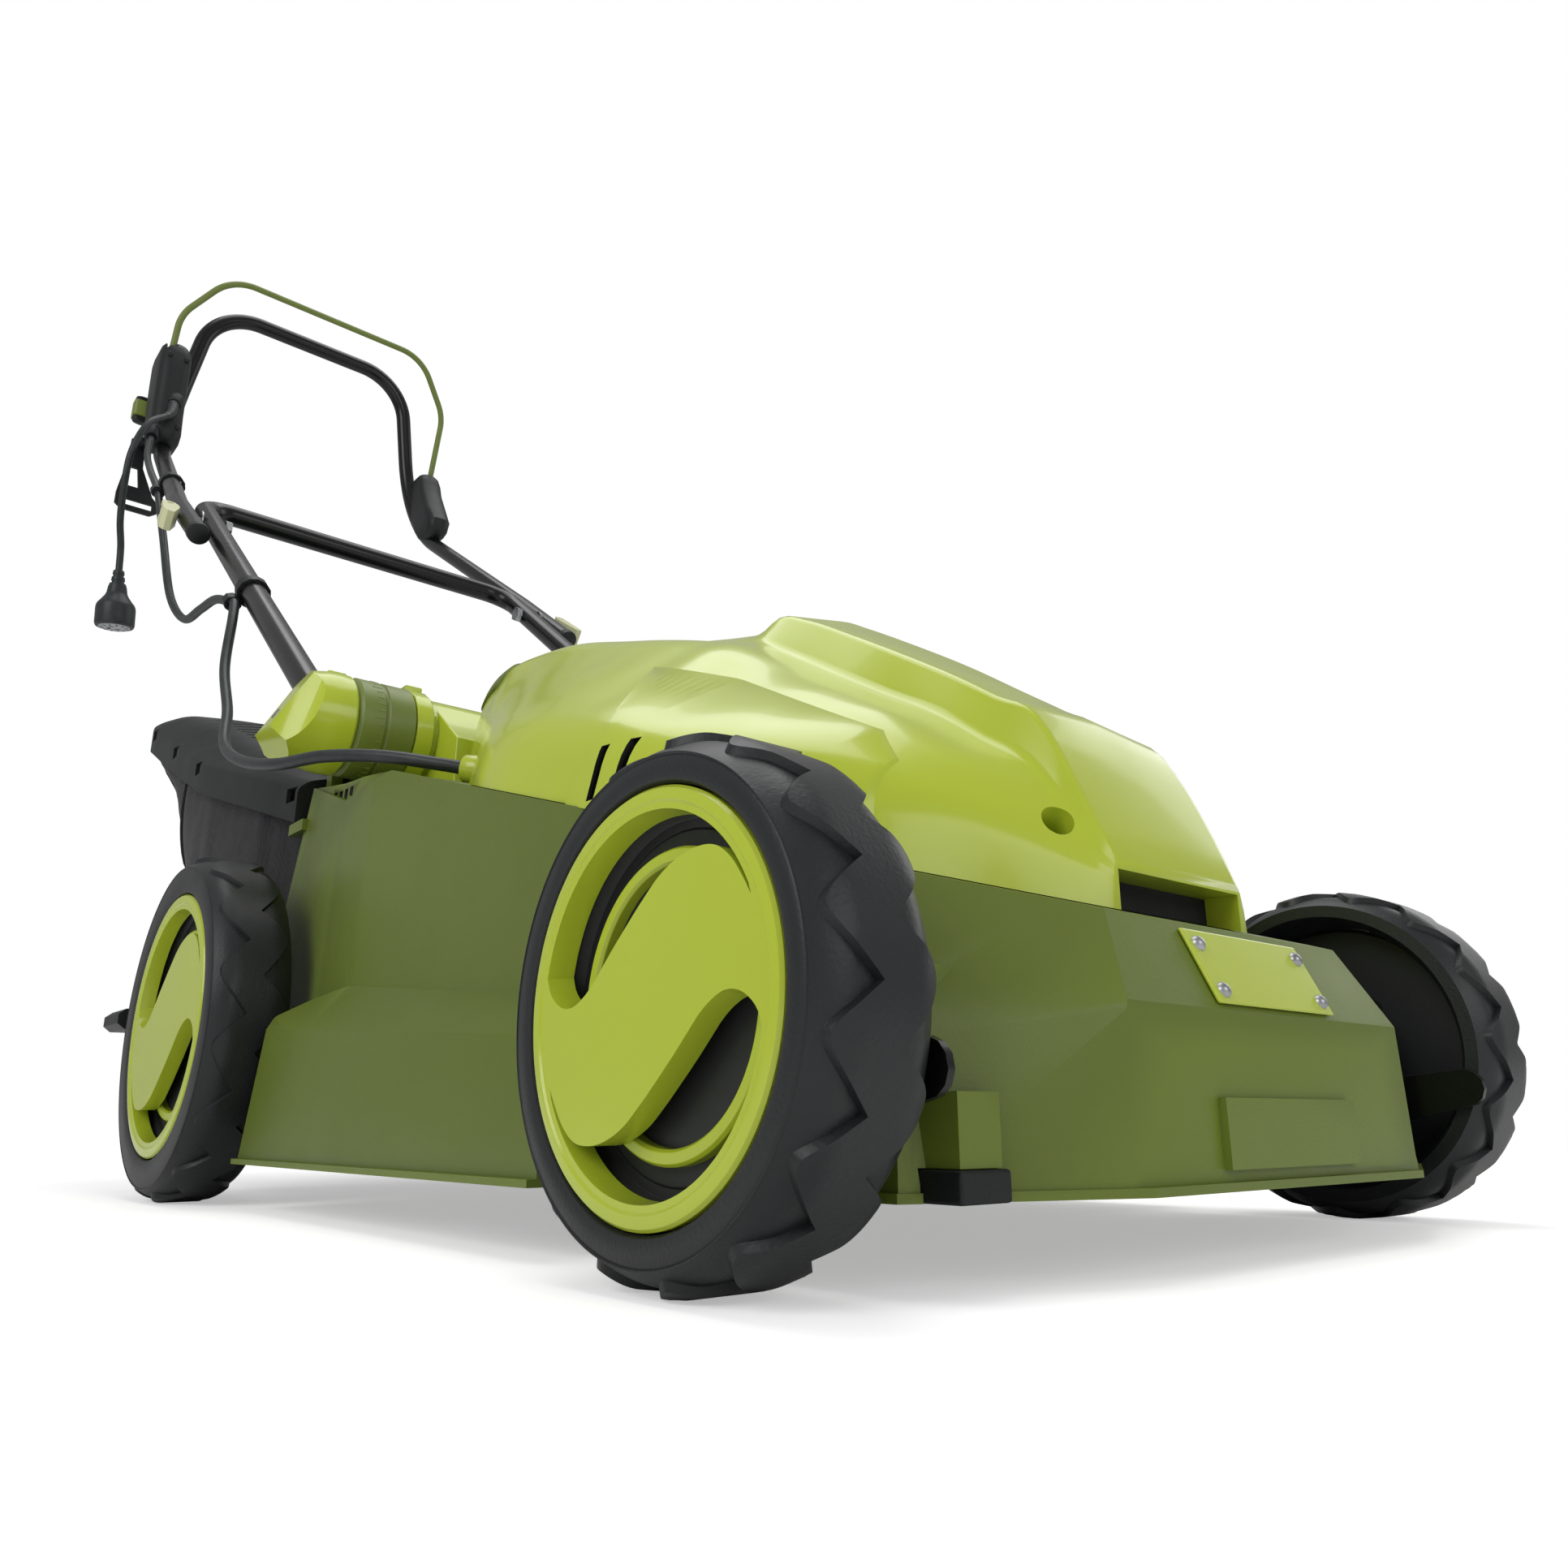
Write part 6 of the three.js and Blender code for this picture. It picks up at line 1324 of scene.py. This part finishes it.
class MOWER_OT_bag(MowerOperator):
    """Grass bag: louvred lid, sagging cloth with bound seams, and the deck's rear flap"""

    bl_idname = "mower.bag"
    bl_label = "Grass bag"

    def make(self, sizes, colours):
        self.lid()
        self.cloth()
        from_frame("rear_flap", "black", 1.2, smooth=30)

    def lid_ring(self, y, inset=0.0, drop=0.0):
        """The lid's section at a station: a low dome, a rounded shoulder and an upright rim."""
        z, half, dome = straight(LID, y)
        top = z + 30 - inset
        corners = [(0, top + 10 + dome), (half * 0.55, top + 8 + dome), (half * 0.84, top + 6 + dome * 0.7),
                   (half - 8 - inset * 0.4, top + 3), (half - inset, top - 4), (half - inset, z - drop)]
        line = rounded(corners, [60, 30, 8, 4], 5)
        return [(x, y, v) for x, v in line] + [(-x, y, v) for x, v in reversed(line[1:])]

    def lid(self):
        """The moulded lid with its slots, the slats under them and the notches in its rim."""
        stations = []
        for (a, *_), (b, *_) in zip(LID, LID[1:]):
            stations += [a + (b - a) * i / 6 for i in range(6)]
        stations.append(LID[-1][0])
        mould = Mould()
        mould.skin([self.lid_ring(y) for y in stations])
        lid = mould.turn_out("lid", ["black", "painted_shade"], 24)
        inner = Mould()
        first, last = stations[0] + 3, stations[-1] - 3
        inner.skin([self.lid_ring(min(last, max(first, y)), 3, 40) for y in stations])
        cut(lid, inner, "black", "painted_shade")
        slots = Mould()
        for i in range(LOUVRES["count"]):
            y = LOUVRES["from"] - i * LOUVRES["step"]
            for side in (-1, 1):
                low, high = sorted((side * 6, side * (148 - max(0, i - 8) * 9)))
                slots.box((low, y, 300), (high, y + 5.5, 500))
        cut(lid, slots, "black", "painted_shade")
        # notches along the rim's side, their walls painted near black as shade
        notches = Mould()
        for y in NOTCHES:
            z, half, _dome = straight(LID, y)
            for side in (-1, 1):
                low, high = sorted((side * (half - 4.5), side * (half + 5)))
                notches.box((low, y - 7, z + 14), (high, y + 7, z + 25), mark=1)
        cut(lid, notches, "black", "painted_shade")
        ease(lid, 0.8, 2, 35)
        dress(lid, "black", "bag_lid")
        slats = Mould()
        for i in range(LOUVRES["count"]):
            y = LOUVRES["from"] - 3 - i * LOUVRES["step"]
            z, _half, dome = straight(LID, y)
            # each slot has a slat leaning over it from inside
            slats.slab([(y + 4, z + 33 + dome), (y + 5.4, z + 33 + dome), (y - 6.6, z + 20 + dome),
                        (y - 8, z + 20 + dome)], "x", -146, 146)
        slats.dressed("lid_slats", "black", 35, bevel=0.3, body="grass_bag")

    def cloth_ring(self, at, inset=0.0, bulge=1.0):
        """The bag's section at a station: a sagging bottom, round corners and sides that belly out to the rim."""
        y_low, z_low, y_high, half_low = between(CLOTH, at)
        rim_z, rim_half, _dome = straight(LID, max(LID[0][0], y_high))
        half_high = rim_half - 8.6 - inset
        high = rim_z - 0.4 + (30 if inset else 0)
        low, half = z_low + inset, half_low - inset
        tall = high - low
        lift = min(26, tall * 0.3)
        line = rounded([(0, low), (half * 0.8, low), (half, low + lift), (half_high, high)], [20, 26], 7)
        # the straight side is divided so that it can belly out and wrinkle
        side_start = line[-2]
        count = 22
        line = line[:-1] + [(side_start[0] + (half_high - side_start[0]) * i / count,
                             side_start[1] + (high - side_start[1]) * i / count) for i in range(1, count + 1)]
        base = line[:1] + [(line[1][0] * i / 12, low) for i in range(1, 12)] + line[1:]
        ring = []
        for x, z in base:
            y = y_low + (y_high - y_low) * (z - z_low) / max(1.0, rim_z - 0.4 - z_low)
            up = max(0.0, min(1.0, (z - low) / max(1.0, tall)))
            belly = math.sin(math.pi * up) * 7 * bulge * min(1.0, x / 60)
            sag = -5 * bulge * max(0.0, 1 - (x / max(1.0, half)) ** 2) * (1 - up)
            ring.append((x + belly, y, z + sag))
        return ring + [(-x, y, z) for x, y, z in reversed(ring[1:])]

    def cloth(self):
        """The sewn bag, a thin shell that is open towards the deck."""
        steps = 90
        rings = [self.cloth_ring(5 * i / steps) for i in range(steps + 1)]
        mould = Mould()
        mould.skin([[self.crumple(Vector(p)) for p in ring] for ring in rings])
        cloth = mould.turn_out("bag_cloth_sewn", ["cloth"], 60)
        # the hollow lies deeper than the deepest crease, so the wall has no holes
        inner = Mould()
        inner.skin([[(x, y + 5 - 10 * i / steps, z) for x, y, z in self.cloth_ring(5 * i / steps, 6, 0.2)]
                    for i in range(steps + 1)])
        cut(cloth, inner, "cloth")
        # the mouth that takes in the cut grass
        mouth = Mould()
        mouth.box((-146, 500, 116), (146, 660, 226))
        cut(cloth, mouth, "cloth")
        dress(cloth, "cloth", "bag_cloth")
        self.bindings(rings)

    def crumple(self, p):
        """Where a point of the cloth goes when the cloth creases: long soft folds, and small ones near the rim."""
        long_folds = noise.noise(Vector((p.x * 0.006, p.y * 0.011 + p.z * 0.004, p.z * 0.012 + 3)))
        small = noise.noise(Vector((p.x * 0.02, p.y * 0.05, p.z * 0.018 + 9)))
        out = Vector((p.x, 0, (p.z - 210) * 0.5))
        out = out.normalized() if out.length > 1 else Vector((0, 0, -1))
        return p + out * (4.2 * long_folds + 1.6 * small)

    def bindings(self, rings):
        """Bound seams along the lower corners and round the back."""
        # past the bottom's points and the first bend's, to the middle of the second bend
        corner = 12 + 8 + 4
        mould = Mould()
        for index in (corner, -corner):
            line = [self.crumple(Vector(ring[index])) for ring in rings]
            mould.tube(line[::2], 2.4, 10)
        for at in (0, 52):
            line = [self.crumple(Vector(p)) for p in rings[at]]
            half = len(line) // 2
            mould.tube(line[:half + 1][::2], 2.2, 8)
            mould.tube(([line[0]] + line[:half:-1])[::2], 2.2, 8)
        mould.dressed("bag_bindings", "cloth", 60, body="grass_bag")


# ---------------------------------------------------------------- the add-on
STEPS = (MOWER_OT_stage, MOWER_OT_finishes, MOWER_OT_cords, MOWER_OT_wheels, MOWER_OT_running_gear, MOWER_OT_deck,
         MOWER_OT_hood, MOWER_OT_motor, MOWER_OT_handle, MOWER_OT_controls, MOWER_OT_bag)


class MOWER_PT_pieces(bpy.types.Panel):
    """Lists the mower's pieces in the sidebar"""

    bl_label = "Corded lawn mower"
    bl_idname = "MOWER_PT_pieces"
    bl_space_type = "VIEW_3D"
    bl_region_type = "UI"
    bl_category = "Mower"

    def draw(self, context):
        for step in STEPS:
            self.layout.operator(step.bl_idname)
        for group in (context.scene.mower_sizes, context.scene.mower_colours):
            for name in group.__annotations__:
                self.layout.prop(group, name)


CLASSES = (Sizes, Colours, *STEPS, MOWER_PT_pieces)


def register():
    """Makes the properties, the operators and the panel known."""
    for one in CLASSES:
        bpy.utils.register_class(one)
    bpy.types.Scene.mower_sizes = bpy.props.PointerProperty(type=Sizes)
    bpy.types.Scene.mower_colours = bpy.props.PointerProperty(type=Colours)


def unregister():
    """Takes them away again."""
    del bpy.types.Scene.mower_sizes
    del bpy.types.Scene.mower_colours
    for one in reversed(CLASSES):
        bpy.utils.unregister_class(one)


def main():
    """Builds every piece through its operator."""
    register()
    for step in STEPS:
        group, name = step.bl_idname.split(".")
        getattr(getattr(bpy.ops, group), name)()
    bpy.context.view_layer.update()


if __name__ == "__main__":
    main()
